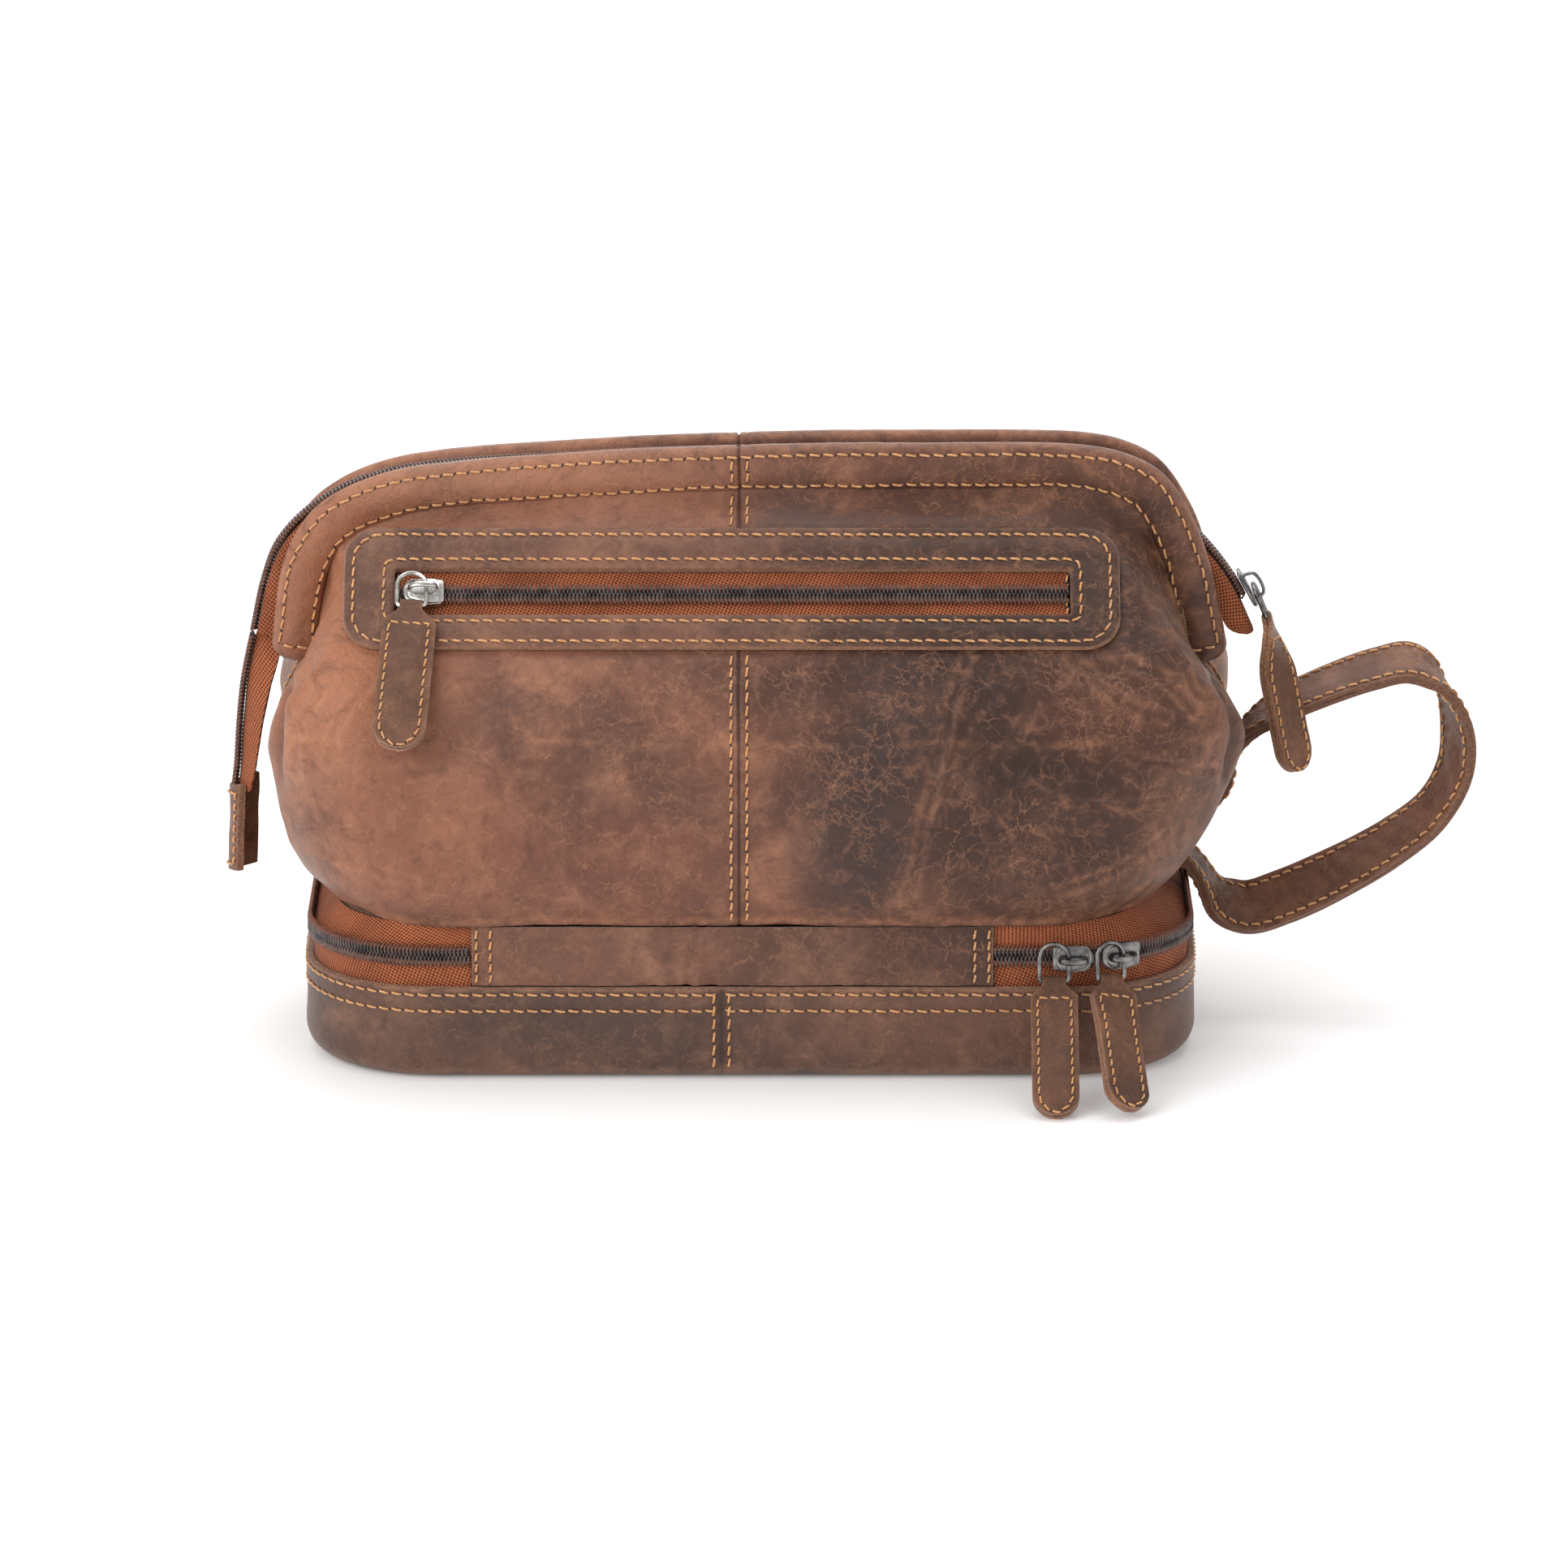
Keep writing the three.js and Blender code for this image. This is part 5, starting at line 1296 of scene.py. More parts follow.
floor_profile = [
    (26, 49.5), (10, 49.5), (1.0, 49.5), (0.2, 49.9), (0.0, 50.4),
    (0.2, 50.9), (1.0, 51.3), (10, 51.3), (26, 51.3),
]
floor_relief = lambda grid, normals: 0.15 * ripple(grid, 24, 8.8) * (grid[..., 2] > 51)
floor_kinds, floor_mats = [0] * 5 + [1] * 5, [side_leather, lining_cloth]
bag_floor, _, _ = ring_solid(
    "bag_floor_leather", floor_profile, floor_mats, floor_kinds, floor_relief, plan=FLOOR_PLAN
)
place(bag_floor, "upper", "bag_floor", slot="dark_leather")


def make_band():
    """The leather band that hinges the two halves at the front."""
    x = np.linspace(BAND[0], BAND[1], 170)[None]
    z = np.linspace(TRAY_RIM + 0.5, BAG_BOTTOM - 0.9, 30)[:, None]
    y = -68.9 - 0.9 * np.sin((z - 31) / 19 * math.pi) + 0 * x
    grid = np.stack([x + 0 * z, y, z + 0 * x], 2)
    relief = 0.32 * ripple(grid, 22, 12.2) + 0.14 * ripple(grid * (1, 1, 0.5), 8, 1.2)
    for at, lean_by, deep in ((-19, 0.2, 0.8), (-14, -0.15, 0.5), (-30, 0.1, 0.35), (28, 0.12, 0.35)):
        fold_x = at + (z - 40) * lean_by
        relief = relief - deep * bell(x, fold_x, 1.3) + 0.6 * deep * bell(x, fold_x + 2.4, 1.6)
    for edge, sign in ((BAND[0], 1), (BAND[1], -1)):
        for aside in (1.3, 5.6):
            relief = relief - 0.18 * bell(x, edge + sign * aside, 0.7)
    grid = raised(grid, relief)
    wear_and_shade = 0.5 * bell(x, BAND[0], 1.0) + 0.5 * bell(x, BAND[1], 1.0) + 0 * z
    obj = slab("hinge_band_leather", grid, LEATHER, (trim_leather, edge_tan, side_leather), wear_and_shade)
    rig.replaces(obj, "hinge_band")
    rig.slot(obj, "leather")
    bend_between(obj, "base", "upper")
    normals = grid_normals(grid)
    for at in (BAND[0] + 1.3, BAND[0] + 5.7, BAND[1] - 5.7, BAND[1] - 1.3):
        col = np.interp(at, x[0], np.arange(x.shape[1]))
        sew_on(("base", "upper"), grid, normals, np.linspace(0.8, 28.2, 60), col, pitch=STRAP_STITCH)


make_band()

# ---------------------------------------------------------------- pocket
POCKET_MID = ((POCKET["left"] + POCKET["right"]) / 2, (POCKET["top"] + POCKET["bottom"]) / 2)
raw_depth = lambda z: np.interp(z, *np.array(DEPTH, float).T)
LEAN = math.atan2(raw_depth(POCKET["bottom"]) - raw_depth(POCKET["top"]), POCKET["top"] - POCKET["bottom"])
POCKET_HALF = (POCKET["top"] - POCKET["bottom"]) / 2 / math.cos(LEAN)
SLOT_HALF = (SLOT["top"] - SLOT["bottom"]) / 2 / math.cos(LEAN)
SLOT_UP = ((SLOT["top"] + SLOT["bottom"]) / 2 - POCKET_MID[1]) / math.cos(LEAN)


def on_pocket(points):
    """From the pocket's plane (x, up its slope, out of the bag) to the model's frame."""
    p = np.asarray(points, float)
    a = math.pi / 2 - LEAN
    x, u, n = p[..., 0], p[..., 1], p[..., 2]
    y = u * math.cos(a) - n * math.sin(a)
    z = u * math.sin(a) + n * math.cos(a)
    return np.stack([x, y - raw_depth(POCKET_MID[1]), z + POCKET_MID[1]], -1)


ALONG_POCKET, UP_POCKET, OUT_OF_POCKET = (on_pocket(axis) - on_pocket([0, 0, 0]) for axis in np.eye(3))


def rounded_outline(left, right, low, high, r, per_corner=14, flat=150, side=24):
    """A rounded rectangle's outline with a fixed count of points on each part."""
    arcs = []
    spots = ((right - r, low + r), (right - r, high - r), (left + r, high - r), (left + r, low + r))
    for (x, y), start in zip(spots, (270, 0, 90, 180)):
        a = np.radians(start + np.linspace(0, 90, per_corner))
        arcs.append(np.stack([x + r * np.cos(a), y + r * np.sin(a)], 1))
    pts = []
    for arc, following, count in zip(arcs, arcs[1:] + arcs[:1], (side, flat, side, flat)):
        pts += [arc, lerp(arc[-1], following[0], np.linspace(0, 1, count + 2)[1:-1, None])]
    return np.vstack(pts)


# the welt's section: share of the way from its outer to its inner outline, and height
WELT_SECTION = (
    (0, 0.2), (0, 1.2), (0.018, 1.75), (0.06, 2.0), (0.13, 2.05), (0.19, 1.8), (0.25, 1.95),
    (0.36, 2.25), (0.5, 2.35), (0.62, 2.25), (0.73, 2.0), (0.79, 1.75), (0.85, 1.95), (0.93, 2.0),
    (0.975, 1.8), (1.0, 1.3), (1.0, 0.2), (1.0, -0.9), (0.97, -1.2), (0.9, -1.2), (0.88, 0.2),
)
WELT_EDGES = (0, 1, 15, 16)  # the rows of the section that show the cut edge
WELT_STITCHED = (5, 11)  # the rows that are sewn


def make_welt():
    """The leather border of the pocket's slot."""
    outer = rounded_outline(POCKET["left"], POCKET["right"], -POCKET_HALF, POCKET_HALF, POCKET["round"])
    inner = rounded_outline(SLOT["left"], SLOT["right"], SLOT_UP - SLOT_HALF, SLOT_UP + SLOT_HALF, 1.2)
    grid = [np.column_stack([lerp(outer, inner, f), np.full(len(outer), h)]) for f, h in WELT_SECTION]
    world = on_pocket(np.stack(grid))
    relief = 0.2 * ripple(world, 13, 14.5) + 0.1 * ripple(world, 5, 3.1)
    on_top = np.array([0.05 < f < 0.87 and h > 1.7 for f, h in WELT_SECTION])
    world = world + OUT_OF_POCKET * np.where(on_top[:, None], relief, 0)[..., None]
    rows, cols = world.shape[:2]
    faces = [*grid_quads(rows, cols, True)]
    last = [((rows - 1) * cols + j, (rows - 1) * cols + (j + 1) % cols) for j in range(cols)]
    faces += [(a, b, b - (rows - 1) * cols, a - (rows - 1) * cols) for a, b in last]
    which = np.repeat(np.isin(np.arange(rows), WELT_EDGES).astype(int), cols)
    share = np.array(WELT_SECTION)[:, 0]
    wear_and_shade = 0.7 * bell(share, 0, 0.03) + 0.5 * bell(share, 1, 0.04) - 0.15 * bell(share, 0.5, 0.2)
    wear_and_shade = np.repeat(wear_and_shade, cols)
    mats = [trim_leather, edge_tan]
    obj = build("pocket_welt_leather", world.reshape(-1, 3), faces, mats, which, grid_uv(world), wear_and_shade)
    place(obj, "front_frame", "pocket_welt", slot="leather")
    normal = np.tile(OUT_OF_POCKET, (cols + 1, 1))
    for row in WELT_STITCHED:
        ring = np.vstack([world[row], world[row, :1]])
        sew("front_frame", ring, normal, pitch=4.1, lift=0.3)


make_welt()
for name, up_sign in (("upper", 1), ("lower", -1)):
    u = SLOT_UP + up_sign * np.linspace(0.15, SLOT_HALF + 1.6, 12)
    x = np.linspace(SLOT["left"] + 0.5, SLOT["right"] - 0.5, 150)
    cloth = on_pocket(np.stack(np.broadcast_arrays(x[None], u[:, None], -1.5), 2))
    cloth += OUT_OF_POCKET * (0.16 * ripple(cloth, 12, 3.9))[..., None]
    tape(f"pocket_tape_{name}", cloth[::up_sign], "front_frame")
    line = on_pocket(np.stack([x, 0 * x + SLOT_UP, 0 * x], 1))
    out = np.tile(OUT_OF_POCKET, (len(x), 1))
    across = np.tile(up_sign * UP_POCKET, (len(x), 1))
    phase = 0.5 * (up_sign > 0)
    zip_half(f"pocket_{name}", "front_frame", f"pocket_coil_{name}", line, out, across, -1.5, 0.8, phase)
# two stitches close the ends of the slot
for x in (SLOT["left"] + 0.9, SLOT["right"] - 0.9):
    for side in (-1, 1):
        spots = np.linspace(SLOT_UP + side * 1.0, SLOT_UP + side * (SLOT_HALF - 0.6), 12)
        line = on_pocket([[x, u, -0.9] for u in spots])
        sew("front_frame", line, np.tile(out[0], (12, 1)), pitch=4.0)

pad_u = np.linspace(-POCKET_HALF + 3.4, POCKET_HALF - 13.2, 30)[:, None]
pad_x = np.linspace(SLOT["left"] + 3.5, SLOT["right"] - 3.5, 120)[None]
crown = (1 - np.abs(np.linspace(-1, 1, 30)[:, None]) ** 4) * (1 - np.abs(np.linspace(-1, 1, 120)[None]) ** 6)
flat = np.stack(np.broadcast_arrays(pad_x, pad_u, -2.9 + 0.25 * crown), 2)
bagged = on_pocket(flat)
bagged -= OUT_OF_POCKET * (0.12 * ripple(bagged, 16, 7.7))[..., None]
obj = slab("pocket_bag_cloth", bagged, 1.5, (lining_cloth,) * 3, bevel=0.3)
place(obj, "front_frame", "pocket_bag", slot="lining")


# ---------------------------------------------------------------- sliders, rings and pulls
def basis(along_x, along_z):
    x, z = unit(along_x), unit(along_z)
    return np.stack([x, np.cross(z, x), z], 1)


def turned(axis, degrees):
    a = math.radians(degrees)
    c, s = math.cos(a), math.sin(a)
    if axis == "x":
        return np.array([[1, 0, 0], [0, c, -s], [0, s, c]])
    return np.array([[c, -s, 0], [s, c, 0], [0, 0, 1]])


def slider_outline(half=6.5, nose=4.9, tail=3.9, count=16):
    arc = np.linspace(-1.06, 1.06, count)
    front = np.stack([half - nose + nose * np.cos(arc), nose * np.sin(arc)], 1)
    side = [(-1, 4.3), (-4.2, 4.05), (0.5 - half, tail)]
    other = [(x, -y) for x, y in side[::-1]]
    return np.vstack([other, front, side, [(-half, tail - 0.5), (-half, 0.5 - tail)]])


def plate(lot, outline, levels, to_world):
    """A rounded plate: the outline shrunk a little at each level."""
    middle = outline.mean(0)
    rings = []
    for shrink, z in levels:
        d = outline - middle
        size = np.linalg.norm(d, axis=1, keepdims=True)
        rings.append(np.column_stack([middle + d * (size - shrink) / size, np.full(len(outline), z)]))
    n = len(outline)
    faces = [*grid_quads(len(rings), n, True)]
    faces += [list(range(n))[::-1], list(range((len(rings) - 1) * n, len(rings) * n))]
    lot.add(to_world(np.vstack(rings)), faces)


# a slider's plate and ridge are lists of (how far the outline shrinks, height)
SLIDER_PLATE = ((0.5, 0), (0.12, 0.12), (0, 0.4), (0, 0.75), (0.15, 1.05), (0.6, 1.2))
SLIDER_RIDGE = ((0.0, 1.15), (0.1, 1.35), (0.5, 1.5))
BRIDGE_SIDE = ((1.8, 5.25), (3.6, 4.5), (4.25, 2.6), (4.3, 0.9))
BRIDGE_SECTION = (
    (-0.95, 0), (-0.75, 0.42), (0, 0.55), (0.75, 0.42), (0.95, 0), (0.75, -0.42), (0, -0.5), (-0.75, -0.42)
)
FLANGE_LINE = ((-5.6, 3.75, -0.7), (-4.5, 3.85, -0.75), (0.5, 4.2, -0.8), (2.2, 4.05, -0.75))
FLANGE_SECTION = ((-0.4, -1.4), (0.4, -1.4), (0.45, 0), (0.4, 1.2), (-0.4, 1.2), (-0.45, 0))


def make_slider(name, origin, axes, flanges, mat):
    """A slider's front plate with its ridge, the bridge over it, and the flanges that are given."""
    to_world = lambda p: np.asarray(p, float) @ axes.T + origin
    lot = Lot()
    plate(lot, slider_outline(), SLIDER_PLATE, to_world)
    plate(lot, slider_outline(5.3, 3.7, 2.8), SLIDER_RIDGE, to_world)
    bridge = spline([(-x, 0, z) for x, z in BRIDGE_SIDE[::-1]] + [(x, 0, z) for x, z in BRIDGE_SIDE], 8)
    tubes = [(bridge, np.cross(tangents(bridge), (0, 1, 0)), closed_section(BRIDGE_SECTION, 16))]
    for side in flanges:
        line = spline(np.array(FLANGE_LINE) * (1, side, 1), 6)
        tubes.append((line, np.tile([0, 0, 1.0], (len(line), 1)), closed_section(FLANGE_SECTION, 14)))
    for line, up, section in tubes:
        verts, faces, uv = tube_arrays(line, up, section)
        lot.add(to_world(verts), faces, uv)
    obj = lot.make(f"{name}_slider_metal", [mat], crease=50)
    place(obj, f"{name}_slider", f"{name}_slider", slot="hardware")


def make_ring(name, eye, axes, top, mat):
    """The wire D that links slider and pull. axes: its plane's x and y, and its normal."""
    half, low = 4.6, 1.5
    turn = np.linspace(0, math.pi / 2, 9)
    corner = [(half - low + low * math.sin(a), low - low * math.cos(a)) for a in turn]
    arc = [(half * math.cos(a), top - half + half * math.sin(a)) for a in np.linspace(0, math.pi, 25)]
    right = [*corner, *[(half, y) for y in np.linspace(low, top - half, 6)[1:-1]]]
    left = [(-x, y) for x, y in right[::-1]]
    base = [(x, 0) for x in np.linspace(low - half, half - low, 7)[1:-1]]
    flat = np.array([*base, *right, *arc, *left])
    line = np.column_stack([flat, 0 * flat[:, 0]]) @ axes.T + eye
    verts, faces, uv = tube_arrays(line, np.tile(axes[:, 2], (len(line), 1)), circle(0.7, 14), closed=True)
    obj = build(f"{name}_ring_wire", verts, faces, [mat], uv=uv, crease=80)
    place(obj, f"{name}_ring", f"{name}_ring", slot="hardware")


PULL_THICK, PULL_NECK, PULL_ROW = 1.45, 3.5, 2.1  # a layer, half the width at the bar, edge to stitches


def pull_bent(points, length, curl, spiral):
    """A pull's points curled outwards and turned about its length."""
    x, y, z = np.moveaxis(points, -1, 0)
    z = z + curl * np.clip(-y / length, 0, 1) ** 2
    a = math.radians(spiral) * smoothstep(-y, 1.5, 20)
    return np.stack([x * np.cos(a) + z * np.sin(a), y, z * np.cos(a) - x * np.sin(a)], -1)


def make_pull(name, bar, axes, width, length, curl=0.0, spiral=0.0, seed=0.0):
    """Two layers of leather sewn together, folded over the ring's bar at the top."""
    half = width / 2
    tip_arc = half * np.sin(np.linspace(0.03, 1, 18) * math.pi / 2 * 0.995)
    straight = np.concatenate([np.linspace(0, 7, 14), np.linspace(7.6, length - half, 50)])
    down = np.concatenate([straight, length - half + tip_arc])
    wide = np.where(down < 7, PULL_NECK + (half - PULL_NECK) * smoothstep(down, 1.2, 6.6), half)
    tip = np.clip((down - (length - half)) / half, 0, 1)
    wide = wide * np.sqrt(1 - tip**2 * 0.998)
    q = np.linspace(-1, 1, 25)
    aside = np.abs(q)[None]
    puff = 0.32 * (1 - (aside / 0.72).clip(0, 1) ** 3) * smoothstep(down, 4, 10)[:, None]
    puff = puff * (1 - tip[:, None] ** 2)
    rise = 0.12 + PULL_THICK + puff - 0.1 * bell(aside * wide[:, None], half - PULL_ROW, 0.6)
    layer = lambda height: np.stack(np.broadcast_arrays(q[None] * wide[:, None], -down[:, None], height), 2)
    front, back = layer(rise), layer(-rise)
    loop = np.linspace(0, math.pi, 9)[1:-1]
    over = [[q * PULL_NECK, 0 * q + 2.15 * math.sin(a), 0 * q + 1.57 * math.cos(a)] for a in loop]
    sheet = np.concatenate([front[::-1], np.moveaxis(np.array(over), 1, 2), back])
    world = pull_bent(sheet, length, curl, spiral) @ axes.T + bar
    world = raised(world, 0.08 * ripple(world, 5, seed))
    if np.dot(grid_normals(world)[30, 12], axes[:, 2]) < 0:
        world = world[:, ::-1]
    wear_and_shade = 0.7 * aside**10 + 0 * world[..., 0]
    mats = (pull_leather, edge_tan, pull_leather)
    obj = slab(f"{name}_pull_leather", world, PULL_THICK, mats, wear_and_shade, bevel=0.3)
    place(obj, f"{name}_pull", f"{name}_pull", slot="leather")
    normals = grid_normals(world)
    sewn = np.where((down > 6.8) & (wide > PULL_ROW + 0.2))[0]
    from_middle = 12 * (wide[sewn] - PULL_ROW) / wide[sewn]
    for rows in (len(down) - 1 - sewn, len(down) + len(loop) + sewn):
        rows = np.concatenate([rows, rows[::-1], rows[:1]])
        cols = 12 + np.concatenate([-from_middle, from_middle[::-1], -from_middle[:1]])
        sew_on(f"{name}_pull", world, normals, rows, cols, pitch=FINE_STITCH, radius=0.33, lift=0.2)


def hang_pull(
    name, origin, along_x, along_z, nose, flanges, bar_x, drop, top, ring_tilt, tilt, width, length, mat,
    lean=0, twist=0, **shape
):
    """A slider, the ring through its bridge and the pull on the ring. The angles are in degrees."""
    axes = basis(along_x, along_z)
    origin = np.asarray(origin, float)
    make_slider(name, origin, axes @ turned("z", nose), flanges, mat)
    ring_axes = axes @ turned("z", lean) @ turned("x", ring_tilt)
    bar = origin + axes @ np.array([bar_x, 0, 2.9]) + ring_axes @ np.array([0, -drop, 0])
    make_ring(name, bar, ring_axes, top, mat)
    make_pull(name, bar, ring_axes @ turned("x", tilt) @ turned("z", twist), width, length, **shape)


base_pull = dict(drop=6.8, top=12, ring_tilt=-6, tilt=-43, width=14.6, length=48.5, mat=gunmetal)
SLIDER_DEEP = 0.1  # how far behind the tray's outline the base sliders' plates start
hang_pull(
    "base_left", (100, SLIDER_DEEP - TRAY["half"], CHAIN_Z), (1, 0, 0), (0, -1, 0),
    nose=0, flanges=(-1,), bar_x=-6.0, curl=-0.8, seed=1.1, **base_pull
)
corner_turn = math.radians(23.5)
corner_out = np.array([math.sin(corner_turn), -math.cos(corner_turn), 0])
corner_middle = np.array([TRAY["right"] - TRAY["corner"], TRAY["corner"] - TRAY["half"], CHAIN_Z])
corner_spot = corner_middle + corner_out * (TRAY["corner"] - SLIDER_DEEP)
hang_pull(
    "base_right", corner_spot, (-corner_out[1], corner_out[0], 0), corner_out,
    nose=180, flanges=(1,), bar_x=-4.6, twist=-13, curl=0.9, spiral=14, seed=2.1, **base_pull
)
hang_pull(
    "pocket", on_pocket([-103, SLOT_UP, 1]), ALONG_POCKET, OUT_OF_POCKET,
    nose=180, flanges=(-1, 1), bar_x=-3.6, drop=6.5, top=11.8, ring_tilt=0, tilt=0,
    width=16.6, length=50, mat=nickel, twist=-4, curl=-1.5, seed=3.1
)
MOUTH_SLIDER_AT = 28.5  # degrees round the shoulder
mouth_x, mouth_z = on_shoulder(MOUTH_SLIDER_AT, 2.9)
mouth_out = [math.cos(math.radians(MOUTH_SLIDER_AT)), 0, math.sin(math.radians(MOUTH_SLIDER_AT))]
hang_pull(
    "mouth", (mouth_x, 0, mouth_z), (0, 1, 0), mouth_out,
    nose=-90, flanges=(), bar_x=0, drop=11, top=11.7, ring_tilt=5, tilt=12,
    width=15.5, length=50, mat=gunmetal, lean=-13, curl=0.5, spiral=-34, seed=4.1
)

# ---------------------------------------------------------------- wrist strap
# the middle of the strap and the direction across it
STRAP_LINE = [
    ((139.5, 12, 63.5), (0, 1, 0)), ((144.5, 12, 67.5), (0, 1, 0)),
    ((150.3, 12, 74), (0, 1, 0)), ((152.8, 10.4, 85.5), (0, 1, 0)),
    ((160, 8.9, 95), (0.05, 0.97, 0.25)), ((169, 8.4, 101), (0.08, 0.92, 0.38)),
    ((184, 8, 108), (0.1, 0.9, 0.42)), ((198, 8, 113), (0.1, 0.9, 0.42)),
    ((209, 8, 115), (0, 0.92, 0.38)), ((218, 9, 109.5), (-0.3, 0.92, 0.2)),
    ((224, 10, 96.5), (-0.45, 0.89, 0)), ((224.5, 10, 80.5), (-0.45, 0.89, 0.1)),
    ((217.5, 10, 66), (-0.2, 0.85, 0.5)), ((204, 10, 54.5), (0.1, 0.7, 0.7)),
    ((186, 10, 44), (0.2, 0.55, 0.81)), ((170, 10, 36.5), (0.2, 0.55, 0.81)),
    ((158, 10, 33), (0.1, 0.75, 0.65)), ((149, 10.5, 36.5), (0, 0.9, 0.4)),
    ((143, 11, 45.5), (0, 0.99, 0.1)), ((136, 12, 55), (0, 1, 0)),
    ((136.2, 12, 62.5), (0, 1, 0)),
]


def make_strap():
    """Two layers sewn together along both edges."""
    points, across = np.moveaxis(np.array(STRAP_LINE, float), 1, 0)
    line = spline(points, 16)
    lean = np.repeat(across, 16, axis=0)[: len(line)]
    for _ in range(60):
        lean[1:-1] = (lean[:-2] + 2 * lean[1:-1] + lean[2:]) / 4
    count = 330
    centre, across = along(line, np.linspace(0, lengths(line)[-1], count), lean)
    run = tangents(centre)
    across = unit(across - run * np.sum(across * run, 1)[:, None])
    face = np.cross(run, across)
    q = np.linspace(-1, 1, 21)
    for layer, sign in (("outer", 1), ("inner", -1)):
        puff = 1.55 + 0.2 * (1 - np.abs(q) ** 3) - 0.12 * bell(np.abs(q) * 9, 6.9, 0.7)
        grid = centre[:, None] + across[:, None] * (9 * q)[None, :, None]
        grid = grid + sign * face[:, None] * puff[None, :, None]
        wrinkle = 0.22 * ripple(grid, 9, 6.6 * sign) + 0.16 * ripple(grid, 4, 2.2)
        wrinkle *= (1 - np.abs(q) ** 6)[None] * (1.6 if sign < 0 else 1.0)
        grid = grid + sign * face[:, None] * wrinkle[..., None]
        if np.mean(np.sum(grid_normals(grid) * sign * face[:, None], 2)) < 0:
            grid = grid[:, ::-1]
        wear_and_shade = 0.6 * np.abs(q)[None] ** 10 + 0 * grid[..., 0]
        obj = slab(f"strap_leather_{layer}", grid, 1.6, (trim_leather, edge_dark, side_leather), wear_and_shade)
        place(obj, "strap", *(["wrist_strap"] if sign > 0 else []), slot="leather")
        normals = grid_normals(grid)
        for col in (2.35, 17.65):
            rows = np.linspace(6, count - 7, 700)
            sew_on("strap", grid, normals, rows, col, pitch=STRAP_STITCH, radius=0.36)


make_strap()


def make_anchor():
    """The patch on the side of the bag that the strap's two ends are sewn under."""
    z = np.linspace(55, 75, 30)[:, None]
    t = np.linspace(-1, 1, 30)[None]
    swell = np.sqrt(np.clip(1 - np.abs(t) ** 3.5, 0, 1)) * (1 - np.abs((z - 65) / 10) ** 4 * 0.25)
    x = right_at(z) - 2.4 + 0.4 + 6.2 * swell
    grid = np.stack([x, 12 + 14.5 * t + 0 * z, z + 0 * t], 2)
    grid = raised(grid, 0.2 * ripple(grid, 6, 4.9))
    wear_and_shade = 0.4 * np.abs(t) ** 8 + 0 * z
    obj = slab("strap_anchor_leather", grid, 1.5, (side_leather, edge_tan, side_leather), wear_and_shade)
    place(obj, "upper", slot="leather")
    normals = grid_normals(grid)
    for col in (2.0, 27.0):
        sew_on("upper", grid, normals, np.linspace(1, 28, 60), col, pitch=STRAP_STITCH)


make_anchor()

# ---------------------------------------------------------------- thread, and CAD parts that stay
for rides, lot in threads.items():
    label = rides if isinstance(rides, str) else "_".join(rides)
    obj = lot.make(f"thread_{label}", [thread, hole_shade])
    if isinstance(rides, str):
        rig.ride(obj, rides)
    else:
        bend_between(obj, *rides)

for name, mat in (
    ("base_board", board), ("front_frame_rod", spring_steel), ("back_frame_rod", spring_steel),
    ("frame_rivet_left", spring_steel), ("frame_rivet_right", spring_steel),
):
    for slot_at in frame["nodes"][name].material_slots:
        slot_at.material = mat

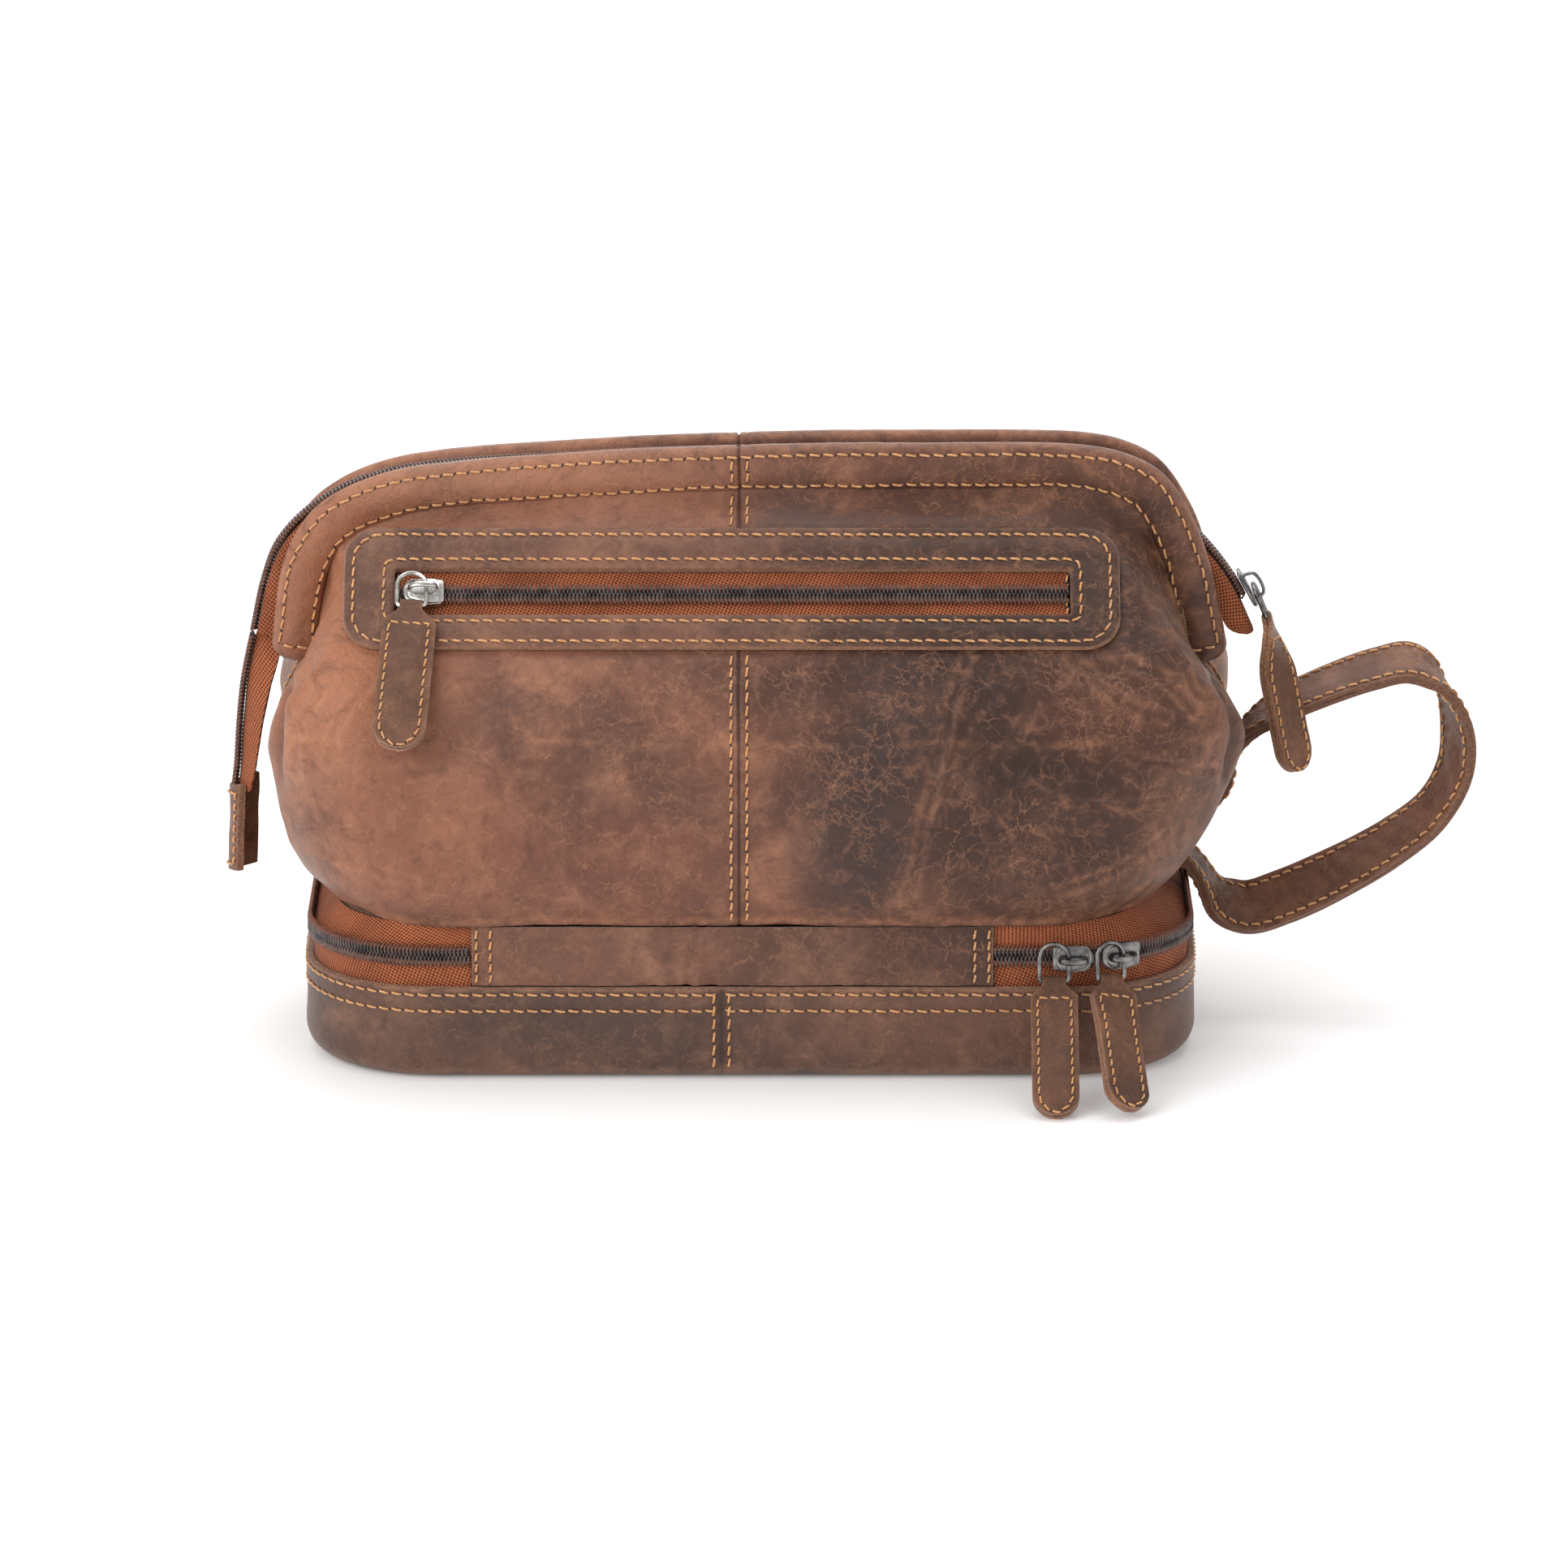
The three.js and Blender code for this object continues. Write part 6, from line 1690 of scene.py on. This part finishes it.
# ---------------------------------------------------------------- floor, light and camera
floor_mat = Graph("studio_floor")
grain = floor_mat.noise(3, 3, 0.5)
paper = floor_mat.mix(grain, (0.93, 0.93, 0.93, 1), (0.97, 0.97, 0.97, 1))
floor_mat.set(color=paper, rough=0.75, specular=0.2)
floor_mat.shader.inputs["Emission Color"].default_value = (1, 1, 1, 1)
floor_mat.shader.inputs["Emission Strength"].default_value = 0.14
bpy.ops.mesh.primitive_grid_add(x_subdivisions=8, y_subdivisions=8, size=14, location=(0, 0, -0.0002))
studio = bpy.context.object
studio.name = "studio_floor"
studio.data.materials.append(floor_mat.mat)
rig.stage(studio)


def area_light(name, at, aim, size, power, colour=(1, 1, 1)):
    data = bpy.data.lights.new(name, "AREA")
    data.shape = "RECTANGLE"
    data.size, data.size_y = size
    data.energy = power
    data.color = colour
    obj = bpy.data.objects.new(name, data)
    obj.location = at
    obj.rotation_euler = (Vector(aim) - Vector(at)).to_track_quat("-Z", "Y").to_euler()
    bpy.context.scene.collection.objects.link(obj)


area_light("key", (-0.85, -0.95, 0.8), (-0.03, 0, 0.09), (1.0, 1.0), 11)
area_light("fill", (1.3, -1.5, 0.8), (0, 0, 0.08), (1.4, 1.2), 3)
area_light("top", (0.0, 0.3, 1.7), (0, 0, 0.1), (1.6, 1.2), 12)
area_light("rear", (0.2, 1.8, 1.0), (0, 0, 0.1), (1.8, 1.0), 12)

world = bpy.data.worlds.new("studio") if bpy.context.scene.world is None else bpy.context.scene.world
bpy.context.scene.world = world
world.use_nodes = True
backdrop = world.node_tree.nodes.get("Background") or world.node_tree.nodes.new("ShaderNodeBackground")
backdrop.inputs[0].default_value = (1, 1, 1, 1)
backdrop.inputs[1].default_value = 0.58
bpy.context.scene.view_settings.view_transform = "Standard"

CAMERA_AIM = np.array([9.6, 0, 77]) * MM
CAMERA_FAR, CAMERA_RISE = 3.0, math.radians(16)
camera_data = bpy.data.cameras.new("camera")
camera_data.lens = 216
camera_data.sensor_width = 36
camera_data.clip_start = 0.05
camera = bpy.data.objects.new("camera", camera_data)
camera.location = CAMERA_AIM + np.array([0, -math.cos(CAMERA_RISE), math.sin(CAMERA_RISE)]) * CAMERA_FAR
camera.rotation_euler = (math.radians(90) - CAMERA_RISE, 0, 0)
bpy.context.scene.collection.objects.link(camera)
bpy.context.scene.camera = camera

bpy.context.view_layer.update()
SHOWN_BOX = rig.bounds()
with open("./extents.json", "w") as out_file:
    boxes = {"cad": CAD_BOX, "visual": SHOWN_BOX}
    json.dump({k: [list(v) for v in pair] for k, pair in boxes.items()}, out_file)
